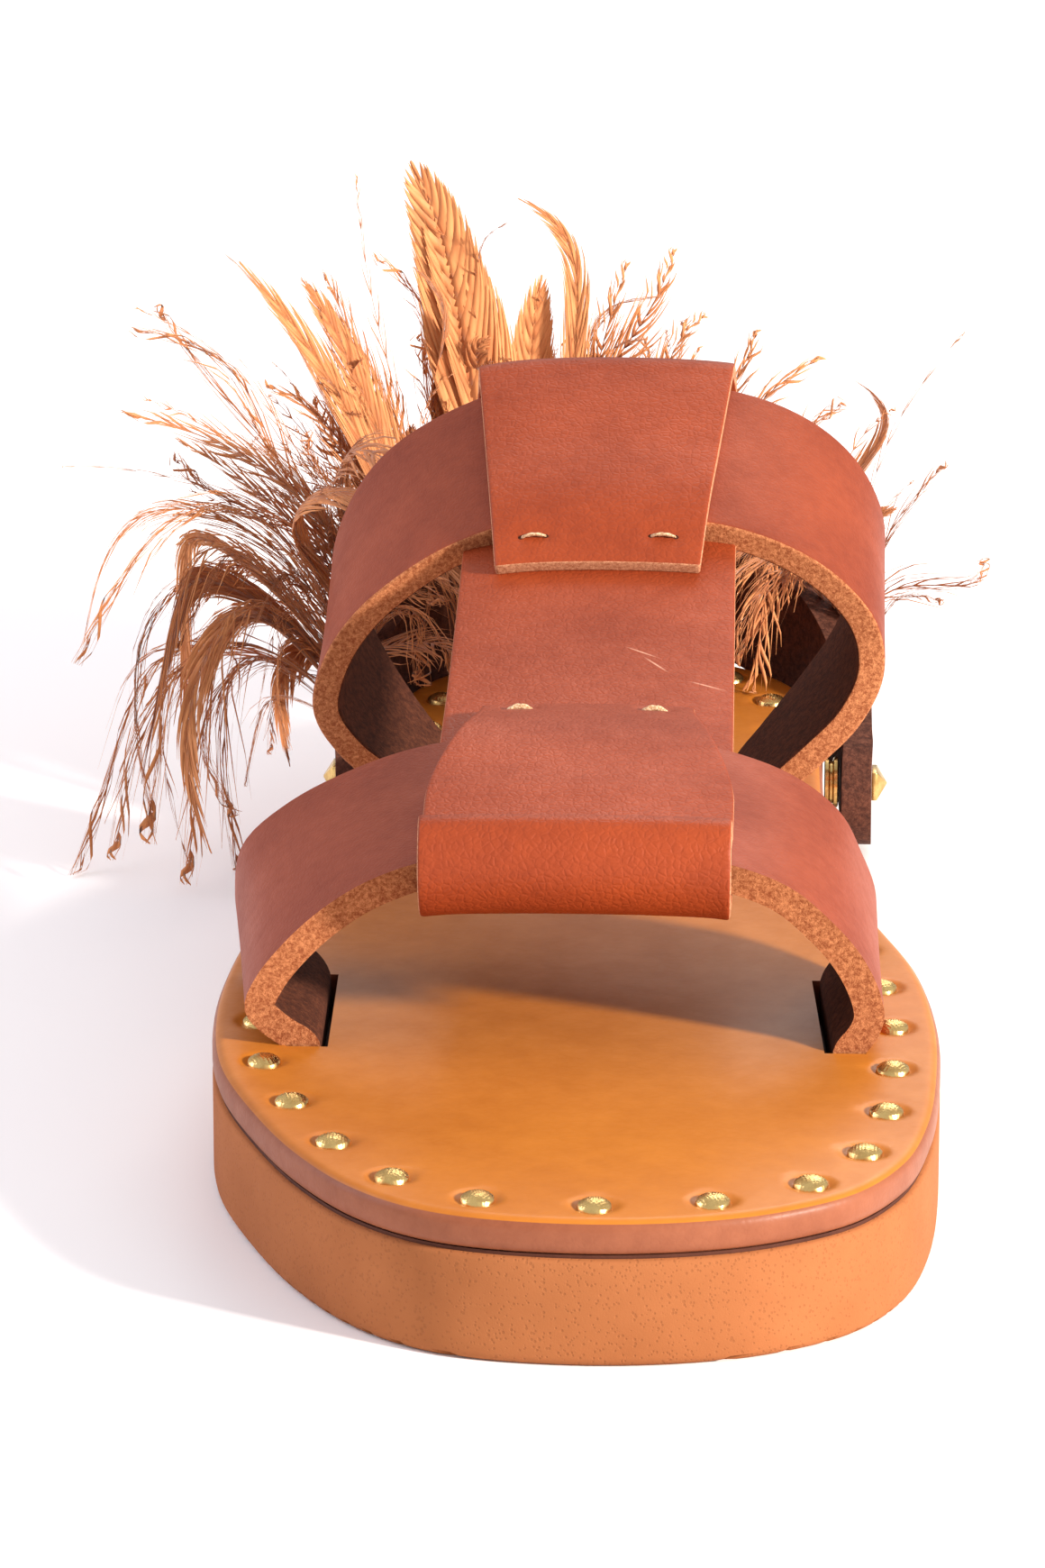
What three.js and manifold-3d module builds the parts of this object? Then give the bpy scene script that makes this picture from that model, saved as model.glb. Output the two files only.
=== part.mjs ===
// Two-strap leather slide sandal, right foot, with a feather-trimmed heel strap.
// Millimetres, +Z up, toe towards -Y, big-toe side towards +X, underside of the sole at Z = 0.
import * as THREE from 'three';
import { mergeVertices } from 'three/addons/utils/BufferGeometryUtils.js';
import Module from 'manifold-3d';

const wasm = await Module();
wasm.setup();

// Driving dimensions of the sole and footbed
const soleLength = 260;
const ballWidth = 102;
const soleThickness = 15.6;
const soleEdgeRadius = 1.4;
const footbedThickness = 4.9;
const footbedEdgeRadius = 1.7;
const fitGap = 0.3;
const outlinePoints = 72;
const strapSteps = 36;
const stripColumns = 6;

// Driving dimensions of the two straps and the centre strip
const strapThickness = 4.2;
const frontStrapStart = 67;
const frontStrapWidth = 38;
const rearStrapToHeel = 88;
const rearStrapWidth = 33;
const frontStrapHeight = 27.2;
const frontStrapRearHeight = 32.1;
const rearStrapHeight = 46;
const rearStrapRearHeight = 58.6;
const strapFootTaper = 8;
const strapFootFlare = 0.35;
const stripThickness = 2.3;
const stripWidth = 43;
const stripRearWidth = 40;
const stripEndWidth = 30.6;
const frontFoldRadius = 6.6;
const frontFoldRise = 0.9;
const frontFoldSlack = 0.2;
const rearFoldRadius = 3.9;
const rearFoldRise = 0;
const rearFoldSlack = 0.8;
const stripSag = 1.6;
const stripFollow = 0.5;
const foldFollow = 0.15;
const foldEasing = 3;
const frontLoopTail = 14.5;
const rearLoopTail = 9;
const seamOverlap = 0.25;

// Driving dimensions of the heel strap and its fixings
const heelStrapHeight = 18.2;
const heelStrapThickness = 4.7;
const heelStrapRise = 21;
const heelStrapEase = 0.2;
const heelTurnMargin = 2;
const heelEndTrim = 0.6;
const postToHeel = 39;
const postHeight = 10.9;
const postRadius = 1.4;
const postDepth = 6;
const spacerRadius = 4;
const spacerWaistRadius = 3.44;
const spacerLength = 2.2;
const pyramidWidth = 4.6;
const pyramidHeight = 2.5;
const pyramidPlinth = 0.8;

// Driving dimensions of the small studs round the footbed
const footbedStudRadius = 2.2;
const footbedStudHeight = 1.3;
const footbedStudPitch = 16.6;
const footbedStudInset = 6.5;

// Driving dimensions of the feather trim
const quillBandThickness = 1.6;
const quillBandHeight = 7;
const quillBandInset = 1;
const featherLength = 72;
const featherWidth = 12;
const featherThickness = 1.1;

const footbedTop = soleThickness + footbedThickness;
const halfLength = soleLength / 2;

// Distance behind the toe tip turned into the Y of the part.
const toY = (setback) => setback - halfLength;

// Outline of the sole seen from above: where along the length, and how far each side reaches.
const soleOutline = [
  { along: 0.007, lateral: 0.11, medial: 0.19 },
  { along: 0.022, lateral: 0.20, medial: 0.29 },
  { along: 0.05, lateral: 0.28, medial: 0.385 },
  { along: 0.095, lateral: 0.355, medial: 0.449 },
  { along: 0.152, lateral: 0.42, medial: 0.481 },
  { along: 0.228, lateral: 0.482, medial: 0.495 },
  { along: 0.31, lateral: 0.504, medial: 0.494 },
  { along: 0.4, lateral: 0.496, medial: 0.467 },
  { along: 0.5, lateral: 0.462, medial: 0.4 },
  { along: 0.6, lateral: 0.415, medial: 0.352 },
  { along: 0.7, lateral: 0.372, medial: 0.336 },
  { along: 0.8, lateral: 0.343, medial: 0.331 },
  { along: 0.88, lateral: 0.337, medial: 0.327 },
  { along: 0.94, lateral: 0.28, medial: 0.275 },
  { along: 0.975, lateral: 0.19, medial: 0.19 },
];
const toeTipShare = 0.045;
const heelTipShare = 0;

// The strap's middle surface at its front and rear edge: height and reach of each side, as shares
// of the apex height over the footbed and of that side's widest reach. The widest reach is a share
// of the ball width. The feet below the first row stand at their insets from the sole's side.
const frontStrapShape = [
  { up: 0.07, frontLateral: 0.915, frontMedial: 0.963, rearLateral: 0.832, rearMedial: 0.945 },
  { up: 0.12, frontLateral: 0.957, frontMedial: 0.985, rearLateral: 0.905, rearMedial: 0.975 },
  { up: 0.2, frontLateral: 1.0, frontMedial: 1.0, rearLateral: 0.98, rearMedial: 0.995 },
  { up: 0.33, frontLateral: 0.97, frontMedial: 0.98, rearLateral: 1.0, rearMedial: 1.0 },
  { up: 0.5, frontLateral: 0.89, frontMedial: 0.92, rearLateral: 0.98, rearMedial: 0.95 },
  { up: 0.67, frontLateral: 0.78, frontMedial: 0.82, rearLateral: 0.86, rearMedial: 0.88 },
  { up: 0.82, frontLateral: 0.64, frontMedial: 0.7, rearLateral: 0.68, rearMedial: 0.73 },
  { up: 0.93, frontLateral: 0.46, frontMedial: 0.51, rearLateral: 0.48, rearMedial: 0.5 },
  { up: 0.985, frontLateral: 0.22, frontMedial: 0.25, rearLateral: 0.24, rearMedial: 0.25 },
];
const rearStrapShape = [
  { up: 0.1, frontLateral: 0.74, frontMedial: 0.65, rearLateral: 0.7, rearMedial: 0.64 },
  { up: 0.22, frontLateral: 0.91, frontMedial: 0.79, rearLateral: 0.84, rearMedial: 0.79 },
  { up: 0.35, frontLateral: 1.0, frontMedial: 0.925, rearLateral: 0.95, rearMedial: 0.92 },
  { up: 0.5, frontLateral: 0.97, frontMedial: 1.0, rearLateral: 1.0, rearMedial: 0.99 },
  { up: 0.65, frontLateral: 0.87, frontMedial: 0.98, rearLateral: 0.95, rearMedial: 1.0 },
  { up: 0.79, frontLateral: 0.7, frontMedial: 0.86, rearLateral: 0.82, rearMedial: 0.91 },
  { up: 0.9, frontLateral: 0.5, frontMedial: 0.67, rearLateral: 0.6, rearMedial: 0.73 },
  { up: 0.975, frontLateral: 0.24, frontMedial: 0.38, rearLateral: 0.3, rearMedial: 0.42 },
];

const frontStrap = {
  start: frontStrapStart,
  width: frontStrapWidth,
  shape: frontStrapShape,
  frontHeight: frontStrapHeight,
  rearHeight: frontStrapRearHeight,
  reach: { frontLateral: 0.43, frontMedial: 0.399, rearLateral: 0.471, rearMedial: 0.388 },
  footInset: { frontLateral: 12.8, frontMedial: 12.8, rearLateral: 13, rearMedial: 12.8 },
  fold: { radius: frontFoldRadius, rise: frontFoldRise, slack: frontFoldSlack },
};
const rearStrap = {
  start: soleLength - rearStrapToHeel,
  width: rearStrapWidth,
  shape: rearStrapShape,
  frontHeight: rearStrapHeight,
  rearHeight: rearStrapRearHeight,
  reach: { frontLateral: 0.405, frontMedial: 0.401, rearLateral: 0.396, rearMedial: 0.4 },
  footInset: { frontLateral: 14.7, frontMedial: 12.2, rearLateral: 12.6, rearMedial: 12.2 },
  fold: { radius: rearFoldRadius, rise: rearFoldRise, slack: rearFoldSlack },
};

// Turns a closed geometry into a solid that can be joined and cut.
function toSolid(geometry) {
  const bare = geometry.clone();
  bare.deleteAttribute('normal');
  bare.deleteAttribute('uv');
  const merged = mergeVertices(bare, 1e-4);
  const triangles = [];
  for (let place = 0; place < merged.index.count; place += 3) {
    const corners = [0, 1, 2].map((step) => merged.index.getX(place + step));
    if (new Set(corners).size === 3) {
      triangles.push(...corners);
    }
  }
  return new wasm.Manifold(new wasm.Mesh({
    numProp: 3,
    vertProperties: new Float32Array(merged.attributes.position.array),
    triVerts: new Uint32Array(triangles),
  }));
}

function toGeometry(solid) {
  const mesh = solid.getMesh();
  const geometry = new THREE.BufferGeometry();
  geometry.setAttribute('position', new THREE.BufferAttribute(mesh.vertProperties, 3));
  geometry.setIndex(new THREE.BufferAttribute(mesh.triVerts, 1));
  return geometry;
}

// Fills the pockets that are sealed between layers of leather pressed on each other.
function withoutPockets(solid) {
  const shells = solid.decompose().filter((shell) => shell.volume() > 0);
  return shells.reduce((whole, shell) => whole.add(shell));
}

// Skins a row of rings, each a loop of the same number of points, and closes both ends.
// The cap is a list of triangles of ring places, seen from the start of the row.
function loft(rings, cap) {
  const count = rings[0].length;
  const positions = rings.flat().flatMap((point) => [point.x, point.y, point.z]);
  const index = [];
  for (let row = 0; row + 1 < rings.length; row += 1) {
    for (let place = 0; place < count; place += 1) {
      const next = (place + 1) % count;
      const near = row * count;
      const far = near + count;
      index.push(near + place, near + next, far + next);
      index.push(near + place, far + next, far + place);
    }
  }
  const last = (rings.length - 1) * count;
  for (const [a, b, c] of cap) {
    index.push(c, b, a);
    index.push(last + a, last + b, last + c);
  }
  const geometry = new THREE.BufferGeometry();
  geometry.setAttribute('position', new THREE.Float32BufferAttribute(positions, 3));
  geometry.setIndex(index);
  return geometry;
}

// A cap for a plain convex or nearly convex ring.
function outlineCap(ring, flatten) {
  return THREE.ShapeUtils.triangulateShape(ring.map(flatten), []);
}

// A cap for a ribbon ring: there along one face, and back along the other.
function ribbonCap(count) {
  const cap = [];
  for (let place = 0; place + 1 < count / 2; place += 1) {
    const across = count - 1 - place;
    cap.push([place, place + 1, across - 1]);
    cap.push([place, across - 1, across]);
  }
  return cap;
}

// The sole's outline, drawn in by a given amount, as evenly spaced points.
function outlineRing(inset, count = outlinePoints) {
  const lateral = soleOutline.map((row) => (
    new THREE.Vector3(-row.lateral * ballWidth, toY(row.along * soleLength), 0)));
  const medial = soleOutline.map((row) => (
    new THREE.Vector3(row.medial * ballWidth, toY(row.along * soleLength), 0)));
  const toeTip = new THREE.Vector3(toeTipShare * ballWidth, -halfLength, 0);
  const heelTip = new THREE.Vector3(heelTipShare * ballWidth, halfLength, 0);
  const points = [toeTip, ...medial, heelTip, ...lateral.reverse()];
  const curve = new THREE.CatmullRomCurve3(points, true, 'centripetal');
  curve.arcLengthDivisions = 600;
  return Array.from({ length: count }, (_, place) => {
    const share = place / count;
    const point = curve.getPointAt(share);
    const tangent = curve.getTangentAt(share);
    return new THREE.Vector3(point.x - tangent.y * inset, point.y + tangent.x * inset, 0);
  });
}

function outlineSlab(levels) {
  const rings = levels.map(({ inset, height }) => (
    outlineRing(inset).map((point) => point.setZ(height))));
  return loft(rings, outlineCap(rings[0], (point) => new THREE.Vector2(point.x, point.y)));
}

// The strap's middle line at its front or rear edge, from the lateral foot over to the medial one.
function strapLine(strap, edge) {
  const height = edge === 'front' ? strap.frontHeight : strap.rearHeight;
  const setback = edge === 'front' ? strap.start : strap.start + strap.width;
  // The rear edge comes forward towards the foot, so that the slot is shorter than the strap is wide.
  const taper = edge === 'front' ? 0 : strapFootTaper;
  const edgeY = (up) => (
    toY(setback) - taper * (1 - THREE.MathUtils.smoothstep(up, 0, strapFootFlare)));
  const sidePoints = (side, direction) => {
    const footX = sideReach(direction, edgeY(0)) - direction * strap.footInset[edge + side];
    const foot = [soleThickness, footbedTop].map((z) => new THREE.Vector3(footX, edgeY(0), z));
    const rows = strap.shape.map((row) => new THREE.Vector3(
      direction * row[edge + side] * strap.reach[edge + side] * ballWidth,
      edgeY(row.up),
      footbedTop + row.up * height,
    ));
    return [...foot, ...rows];
  };
  const points = [...sidePoints('Lateral', -1), ...sidePoints('Medial', 1).reverse()];
  return new THREE.CatmullRomCurve3(points, false, 'centripetal');
}

// A closed ring round a strap's section: along the outer face, then back along the inner face.
function strapRing(curve, thickness, lowest) {
  const outer = [];
  const inner = [];
  for (let step = 0; step <= strapSteps; step += 1) {
    const point = curve.getPoint(step / strapSteps);
    const tangent = curve.getTangent(step / strapSteps);
    const normal = new THREE.Vector3(-tangent.z, 0, tangent.x).multiplyScalar(thickness / 2);
    outer.push(point.clone().add(normal));
    inner.push(point.clone().sub(normal));
  }
  for (const end of [outer[0], inner[0], outer.at(-1), inner.at(-1)]) {
    end.z = lowest;
  }
  return [...outer, ...inner.reverse()];
}

// A strap as a solid, or, with a clearance, the room that it needs in the footbed.
function strapSolid(strap, clearance = 0) {
  const thickness = strapThickness + 2 * clearance;
  const lowest = clearance > 0 ? soleThickness - footbedThickness : soleThickness;
  const rings = ['front', 'rear'].map((edge) => {
    const shift = edge === 'front' ? -clearance : clearance;
    const ring = strapRing(strap.lines[edge], thickness, lowest);
    return ring.map((point) => point.setY(point.y + shift));
  });
  return toSolid(loft(rings, ribbonCap(rings[0].length)));
}

for (const strap of [frontStrap, rearStrap]) {
  strap.lines = { front: strapLine(strap, 'front'), rear: strapLine(strap, 'rear') };
  strap.frontY = toY(strap.start);
  strap.rearY = toY(strap.start + strap.width);
}

// Height of a strap's middle line at one edge, over a place near its crown.
function crownOfLine(curve, x) {
  const points = curve.getPoints(strapSteps * 2);
  const middle = Math.round(points.length / 2);
  const upper = points.slice(Math.round(middle / 2), middle + Math.round(middle / 2));
  const after = upper.findIndex((point) => point.x >= x);
  const before = upper[after - 1];
  const part = (x - before.x) / (upper[after].x - before.x);
  return THREE.MathUtils.lerp(before.z, upper[after].z, part);
}

function strapCrown(strap, x, share) {
  const front = crownOfLine(strap.lines.front, x);
  const rear = crownOfLine(strap.lines.rear, x);
  return THREE.MathUtils.lerp(front, rear, share);
}

// How far the strip lies from the height of its middle line, because it follows the crowns.
function crownShift(x, y) {
  const shareOf = (strap) => THREE.MathUtils.clamp((y - strap.frontY) / strap.width, 0, 1);
  const shiftOf = (strap) => strapCrown(strap, x, shareOf(strap)) - strapCrown(strap, 0, shareOf(strap));
  const between = (y - frontStrap.rearY) / (rearStrap.frontY - frontStrap.rearY);
  const share = THREE.MathUtils.clamp(between, 0, 1);
  const ahead = THREE.MathUtils.clamp((frontStrap.frontY - y) / foldEasing, 0, 1);
  const follow = THREE.MathUtils.lerp(stripFollow, foldFollow, ahead);
  return follow * THREE.MathUtils.lerp(shiftOf(frontStrap), shiftOf(rearStrap), share);
}

// Half the distance between the strip's two layers, where they lie on a strap.
const layerOffset = (strapThickness + stripThickness) / 2 - seamOverlap;

// The strip between the straps, from the rear edge of the front one to the front edge of the other.
function bridgePoint(share) {
  const low = strapCrown(frontStrap, 0, 1) - layerOffset;
  const high = strapCrown(rearStrap, 0, 0) - layerOffset;
  const sag = stripSag * Math.sin(Math.PI * share);
  const y = THREE.MathUtils.lerp(frontStrap.rearY, rearStrap.frontY, share);
  return new THREE.Vector3(0, y, THREE.MathUtils.lerp(low, high, share) - sag);
}

// The fold round one strap's outer edge, at an angle from its furthest point.
function foldPoint(strap, degrees) {
  const isFront = strap === frontStrap;
  const direction = isFront ? -1 : 1;
  const edgeY = isFront ? strap.frontY : strap.rearY;
  const { radius, rise, slack } = strap.fold;
  const middle = strapCrown(strap, 0, isFront ? 0 : 1) + rise;
  const angle = THREE.MathUtils.degToRad(degrees);
  const y = edgeY + direction * (slack + radius * Math.cos(angle));
  return new THREE.Vector3(0, y, middle + radius * Math.sin(angle));
}

function onStrap(strap, share, side) {
  const y = THREE.MathUtils.lerp(strap.frontY, strap.rearY, share);
  return new THREE.Vector3(0, y, strapCrown(strap, 0, share) + side * layerOffset);
}

// A ribbon of the strip's leather along a line in the shoe's middle plane.
function stripRibbon(points, steps, widthAt) {
  const curve = new THREE.CatmullRomCurve3(points, false, 'centripetal');
  const rings = [];
  for (let step = 0; step <= steps; step += 1) {
    const share = step / steps;
    const point = curve.getPointAt(share);
    const tangent = curve.getTangentAt(share);
    const normal = new THREE.Vector3(0, -tangent.z, tangent.y).multiplyScalar(stripThickness / 2);
    const half = widthAt(share) / 2;
    const across = Array.from({ length: stripColumns + 1 }, (_, column) => (
      THREE.MathUtils.lerp(-half, half, column / stripColumns)));
    const face = (x, side) => new THREE.Vector3(
      x,
      point.y + side * normal.y,
      point.z + side * normal.z + crownShift(x, point.y),
    );
    const upper = across.map((x) => face(x, 1));
    const lower = across.map((x) => face(x, -1)).reverse();
    rings.push([...upper, ...lower]);
  }
  return toSolid(loft(rings, ribbonCap(rings[0].length)));
}

// Angles of the points that carry the strip round a fold, from the top layer to the outermost point.
const foldAngles = [65, 30];
const foldOverlapAngle = 8;
// Shares of a strap's width at which the strip is laid along it.
const layShares = { outer: 0.06, middle: 0.5, inner: 0.96 };
const stripSteps = 40;
const flapSteps = 20;
const frontFlapTaper = 0.6;

function stripSolid() {
  const bridgeLength = rearStrap.frontY - frontStrap.rearY;
  const lift = new THREE.Vector3(0, 0, stripThickness - seamOverlap);
  const frontTail = bridgePoint(frontLoopTail / bridgeLength).add(lift);
  const rearTail = bridgePoint(1 - rearLoopTail / bridgeLength).add(lift);
  const { outer, middle, inner } = layShares;
  const foldBelow = (strap) => foldAngles.map((angle) => foldPoint(strap, -angle));
  const foldAbove = (strap) => foldAngles.map((angle) => foldPoint(strap, angle));
  const base = stripRibbon([
    foldPoint(frontStrap, 0), ...foldBelow(frontStrap).reverse(),
    onStrap(frontStrap, outer, -1), onStrap(frontStrap, middle, -1),
    bridgePoint(0), bridgePoint(1 / 3), bridgePoint(2 / 3), bridgePoint(1),
    onStrap(rearStrap, middle, -1), onStrap(rearStrap, 1 - outer, -1),
    ...foldBelow(rearStrap), foldPoint(rearStrap, 0),
  ], stripSteps, (share) => THREE.MathUtils.lerp(stripWidth, stripRearWidth, share));
  const frontFlap = stripRibbon([
    frontTail, onStrap(frontStrap, inner, 1), onStrap(frontStrap, middle, 1),
    onStrap(frontStrap, outer, 1),
    ...foldAbove(frontStrap), foldPoint(frontStrap, -foldOverlapAngle),
  ], flapSteps, (share) => {
    const open = THREE.MathUtils.smoothstep(share, 0, frontFlapTaper);
    return THREE.MathUtils.lerp(stripEndWidth, stripWidth, open);
  });
  const rearFlap = stripRibbon([
    rearTail, onStrap(rearStrap, 1 - inner, 1), onStrap(rearStrap, middle, 1),
    onStrap(rearStrap, 1 - outer, 1),
    ...foldAbove(rearStrap), foldPoint(rearStrap, -foldOverlapAngle),
  ], flapSteps, (share) => THREE.MathUtils.lerp(stripEndWidth, stripRearWidth, share));
  return base.add(frontFlap).add(rearFlap);
}

// How far the sole's side stands out at one place along the shoe.
function sideReach(direction, y) {
  const ring = outlineRing(0).filter((point) => point.x * direction > 0);
  ring.sort((a, b) => a.y - b.y);
  const after = ring.findIndex((point) => point.y >= y);
  const part = (y - ring[after - 1].y) / (ring[after].y - ring[after - 1].y);
  return THREE.MathUtils.lerp(ring[after - 1].x, ring[after].x, part);
}

const postY = toY(soleLength - postToHeel);
const heelStrapOffset = spacerLength + 2 * fitGap + heelStrapEase + heelStrapThickness / 2;

// The heel strap's middle line, from its medial front end round the heel to the lateral one.
function heelStrapCurve() {
  const frontY = postY - heelStrapHeight / 2;
  const around = outlineRing(-heelStrapOffset, 2 * outlinePoints)
    .filter((point) => point.y > postY + heelTurnMargin);
  const medial = sideReach(1, postY) + heelStrapOffset;
  const lateral = sideReach(-1, postY) - heelStrapOffset;
  const ends = [
    new THREE.Vector3(medial, frontY, 0), new THREE.Vector3(medial, postY, 0),
    new THREE.Vector3(lateral, postY, 0), new THREE.Vector3(lateral, frontY, 0),
  ];
  const backY = halfLength + heelStrapOffset;
  const points = [ends[0], ends[1], ...around.filter((_, place) => place % 4 === 2), ends[2], ends[3]];
  for (const point of points) {
    const climb = (point.y - postY) / (backY - postY);
    point.z = postHeight + heelStrapRise * climb;
  }
  return new THREE.CatmullRomCurve3(points, false, 'centripetal');
}

const heelStrapSteps = 56;
const heelCurve = heelStrapCurve();
const heelCurveLength = heelCurve.getLength();

// The heel strap's place, outward side and upward side at a share of its length.
function heelFrame(share) {
  const point = heelCurve.getPointAt(share);
  const tangent = heelCurve.getTangentAt(share);
  const outward = new THREE.Vector3(tangent.y, -tangent.x, 0).normalize();
  const upward = new THREE.Vector3().crossVectors(outward, tangent).normalize();
  return { point, tangent, outward, upward };
}

// A band that follows the heel strap: a ring's corners are shares of its thickness and height.
function heelBand({ from, to, steps, standOff, lift, thickness, heightAt, corners }) {
  const rings = [];
  for (let step = 0; step <= steps; step += 1) {
    const share = THREE.MathUtils.lerp(from, to, step / steps);
    const { point, outward, upward } = heelFrame(share);
    const height = heightAt(share);
    rings.push(corners.map(([across, up]) => point.clone()
      .addScaledVector(outward, standOff + across * thickness)
      .addScaledVector(upward, lift + up * height)));
  }
  const cap = outlineCap(corners, ([across, up]) => new THREE.Vector2(up, across));
  return toSolid(loft(rings, cap));
}

const roundedCorners = [
  [0.36, -0.47], [0.15, -0.5], [-0.15, -0.5], [-0.36, -0.47], [-0.5, -0.38], [-0.5, 0.38],
  [-0.36, 0.47], [-0.15, 0.5], [0.15, 0.5], [0.36, 0.47], [0.5, 0.38], [0.5, -0.38],
];
const plainCorners = [[-0.5, -0.5], [-0.5, 0.5], [0.5, 0.5], [0.5, -0.5]];

function heelStrapSolid() {
  const radius = heelStrapHeight / 2;
  const heightAt = (share) => {
    const fromEnd = Math.min(share, 1 - share) * heelCurveLength;
    const missing = Math.max(radius - fromEnd, 0);
    return 2 * Math.sqrt(Math.max(radius ** 2 - missing ** 2, 0));
  };
  const start = heelEndTrim / heelCurveLength;
  const band = heelBand({
    from: start, to: 1 - start, steps: heelStrapSteps, standOff: 0, lift: 0,
    thickness: heelStrapThickness, heightAt, corners: roundedCorners,
  });
  const hole = postHole(2 * heelStrapOffset);
  return band.subtract(hole(1)).subtract(hole(-1));
}

// A round bar across the shoe at the post, with room for it to pass.
function postHole(length, centre = heelStrapOffset) {
  return (direction) => {
    const radius = postRadius + fitGap;
    const bar = new THREE.CylinderGeometry(radius, radius, length, 12);
    bar.rotateZ(Math.PI / 2);
    bar.translate(sideReach(direction, postY) + direction * centre, postY, postHeight);
    return toSolid(bar);
  };
}

// Turned and square pieces of the post are made upright, then laid outwards across the shoe.
function layOutwards(geometry, direction, distance) {
  geometry.rotateY(direction * Math.PI / 2);
  geometry.translate(sideReach(direction, postY) + direction * distance, postY, postHeight);
  return geometry;
}

function spacerGeometry(direction) {
  const hole = postRadius + fitGap;
  const profile = [
    [hole, 0], [spacerRadius, 0], [spacerRadius, 0.35], [spacerWaistRadius, 0.5],
    [spacerRadius, 0.65], [spacerRadius, 1], [hole, 1], [hole, 0],
  ].map(([radius, share]) => new THREE.Vector2(radius, share * spacerLength));
  const spacer = new THREE.LatheGeometry(profile, 20);
  spacer.rotateX(Math.PI / 2);
  return layOutwards(spacer, direction, fitGap);
}

function pyramidStudGeometry(direction) {
  const headAt = heelStrapOffset + heelStrapThickness / 2 + fitGap;
  const postLength = headAt + postDepth - fitGap;
  const plinth = new THREE.BoxGeometry(pyramidWidth, pyramidWidth, pyramidPlinth);
  plinth.translate(0, 0, pyramidPlinth / 2);
  const rise = pyramidHeight - pyramidPlinth;
  const pyramid = new THREE.ConeGeometry(pyramidWidth / Math.SQRT2, rise, 4);
  pyramid.rotateX(Math.PI / 2);
  pyramid.rotateZ(Math.PI / 4);
  pyramid.translate(0, 0, pyramidPlinth + rise / 2);
  const post = new THREE.CylinderGeometry(postRadius, postRadius, postLength, 12);
  post.rotateX(Math.PI / 2);
  post.translate(0, 0, pyramidPlinth / 2 - postLength / 2);
  const stud = toSolid(plinth).add(toSolid(pyramid)).add(toSolid(post));
  return layOutwards(toGeometry(stud), direction, headAt);
}

function footbedStudGeometry(point) {
  const profile = [[0, 0], [1, 0], [1, 0.25], [0.72, 0.8], [0, 1]]
    .map(([radius, share]) => new THREE.Vector2(radius * footbedStudRadius, share * footbedStudHeight));
  const stud = new THREE.LatheGeometry(profile, 8);
  stud.rotateX(Math.PI / 2);
  stud.translate(point.x, point.y, footbedTop);
  return stud;
}

// Blade outline: how wide a feather is along its quill.
const featherOutline = [
  { along: 0, width: 0.3 },
  { along: 0.18, width: 0.7 },
  { along: 0.42, width: 1 },
  { along: 0.68, width: 0.86 },
  { along: 0.88, width: 0.48 },
  { along: 1, width: 0.08 },
];

// A row is one feather blade: where its root sits along the heel strap, then the middle and the tip
// of its quill, seen from the root as shares of the feather length, and its width as a share of the
// widest blade.
const medialBlades = [
  { at: 0.22, midX: 0.07, midBack: -0.06, midUp: 0.11, tipX: 0.2, tipBack: -0.2, tipUp: 0.18, width: 0.4 },
  { at: 0.25, midX: 0.09, midBack: -0.04, midUp: 0.2, tipX: 0.23, tipBack: -0.15, tipUp: 0.44, width: 0.4 },
  { at: 0.29, midX: 0.11, midBack: 0, midUp: 0.25, tipX: 0.32, tipBack: -0.17, tipUp: 0.69, width: 0.35 },
  { at: 0.33, midX: 0.1, midBack: 0.04, midUp: 0.22, tipX: 0.24, tipBack: 0.04, tipUp: 0.41, width: 0.5 },
];
const backMedialBlades = [
  { at: 0.39, midX: 0.08, midBack: 0.06, midUp: 0.16, tipX: 0.25, tipBack: 0.11, tipUp: 0.35, width: 0.5 },
  { at: 0.42, midX: 0.06, midBack: 0.08, midUp: 0.2, tipX: 0.27, tipBack: 0.06, tipUp: 0.45, width: 0.5 },
  { at: 0.45, midX: 0.05, midBack: 0.09, midUp: 0.22, tipX: 0.19, tipBack: 0.17, tipUp: 0.47, width: 0.6 },
  { at: 0.47, midX: -0.02, midBack: 0.13, midUp: 0.2, tipX: -0.02, tipBack: 0.27, tipUp: 0.42, width: 0.6 },
  { at: 0.48, midX: 0.04, midBack: 0.05, midUp: 0.3, tipX: 0.15, tipBack: 0.11, tipUp: 0.51, width: 0.4 },
];
const backLateralBlades = [
  { at: 0.53, midX: 0.02, midBack: 0.05, midUp: 0.33, tipX: 0.1, tipBack: 0.05, tipUp: 0.65, width: 0.5 },
  { at: 0.54, midX: 0.07, midBack: 0.1, midUp: 0.36, tipX: 0.23, tipBack: 0.1, tipUp: 0.67, width: 0.45 },
  { at: 0.56, midX: 0.06, midBack: 0.04, midUp: 0.5, tipX: -0.07, tipBack: 0.04, tipUp: 0.8, width: 0.4 },
  { at: 0.58, midX: 0, midBack: 0.05, midUp: 0.31, tipX: 0.03, tipBack: 0.1, tipUp: 0.62, width: 0.6 },
  { at: 0.6, midX: -0.07, midBack: 0.04, midUp: 0.49, tipX: -0.17, tipBack: 0.04, tipUp: 0.83, width: 0.8 },
  { at: 0.61, midX: -0.08, midBack: 0.03, midUp: 0.52, tipX: -0.19, tipBack: 0.01, tipUp: 0.92, width: 0.85 },
];
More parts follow.
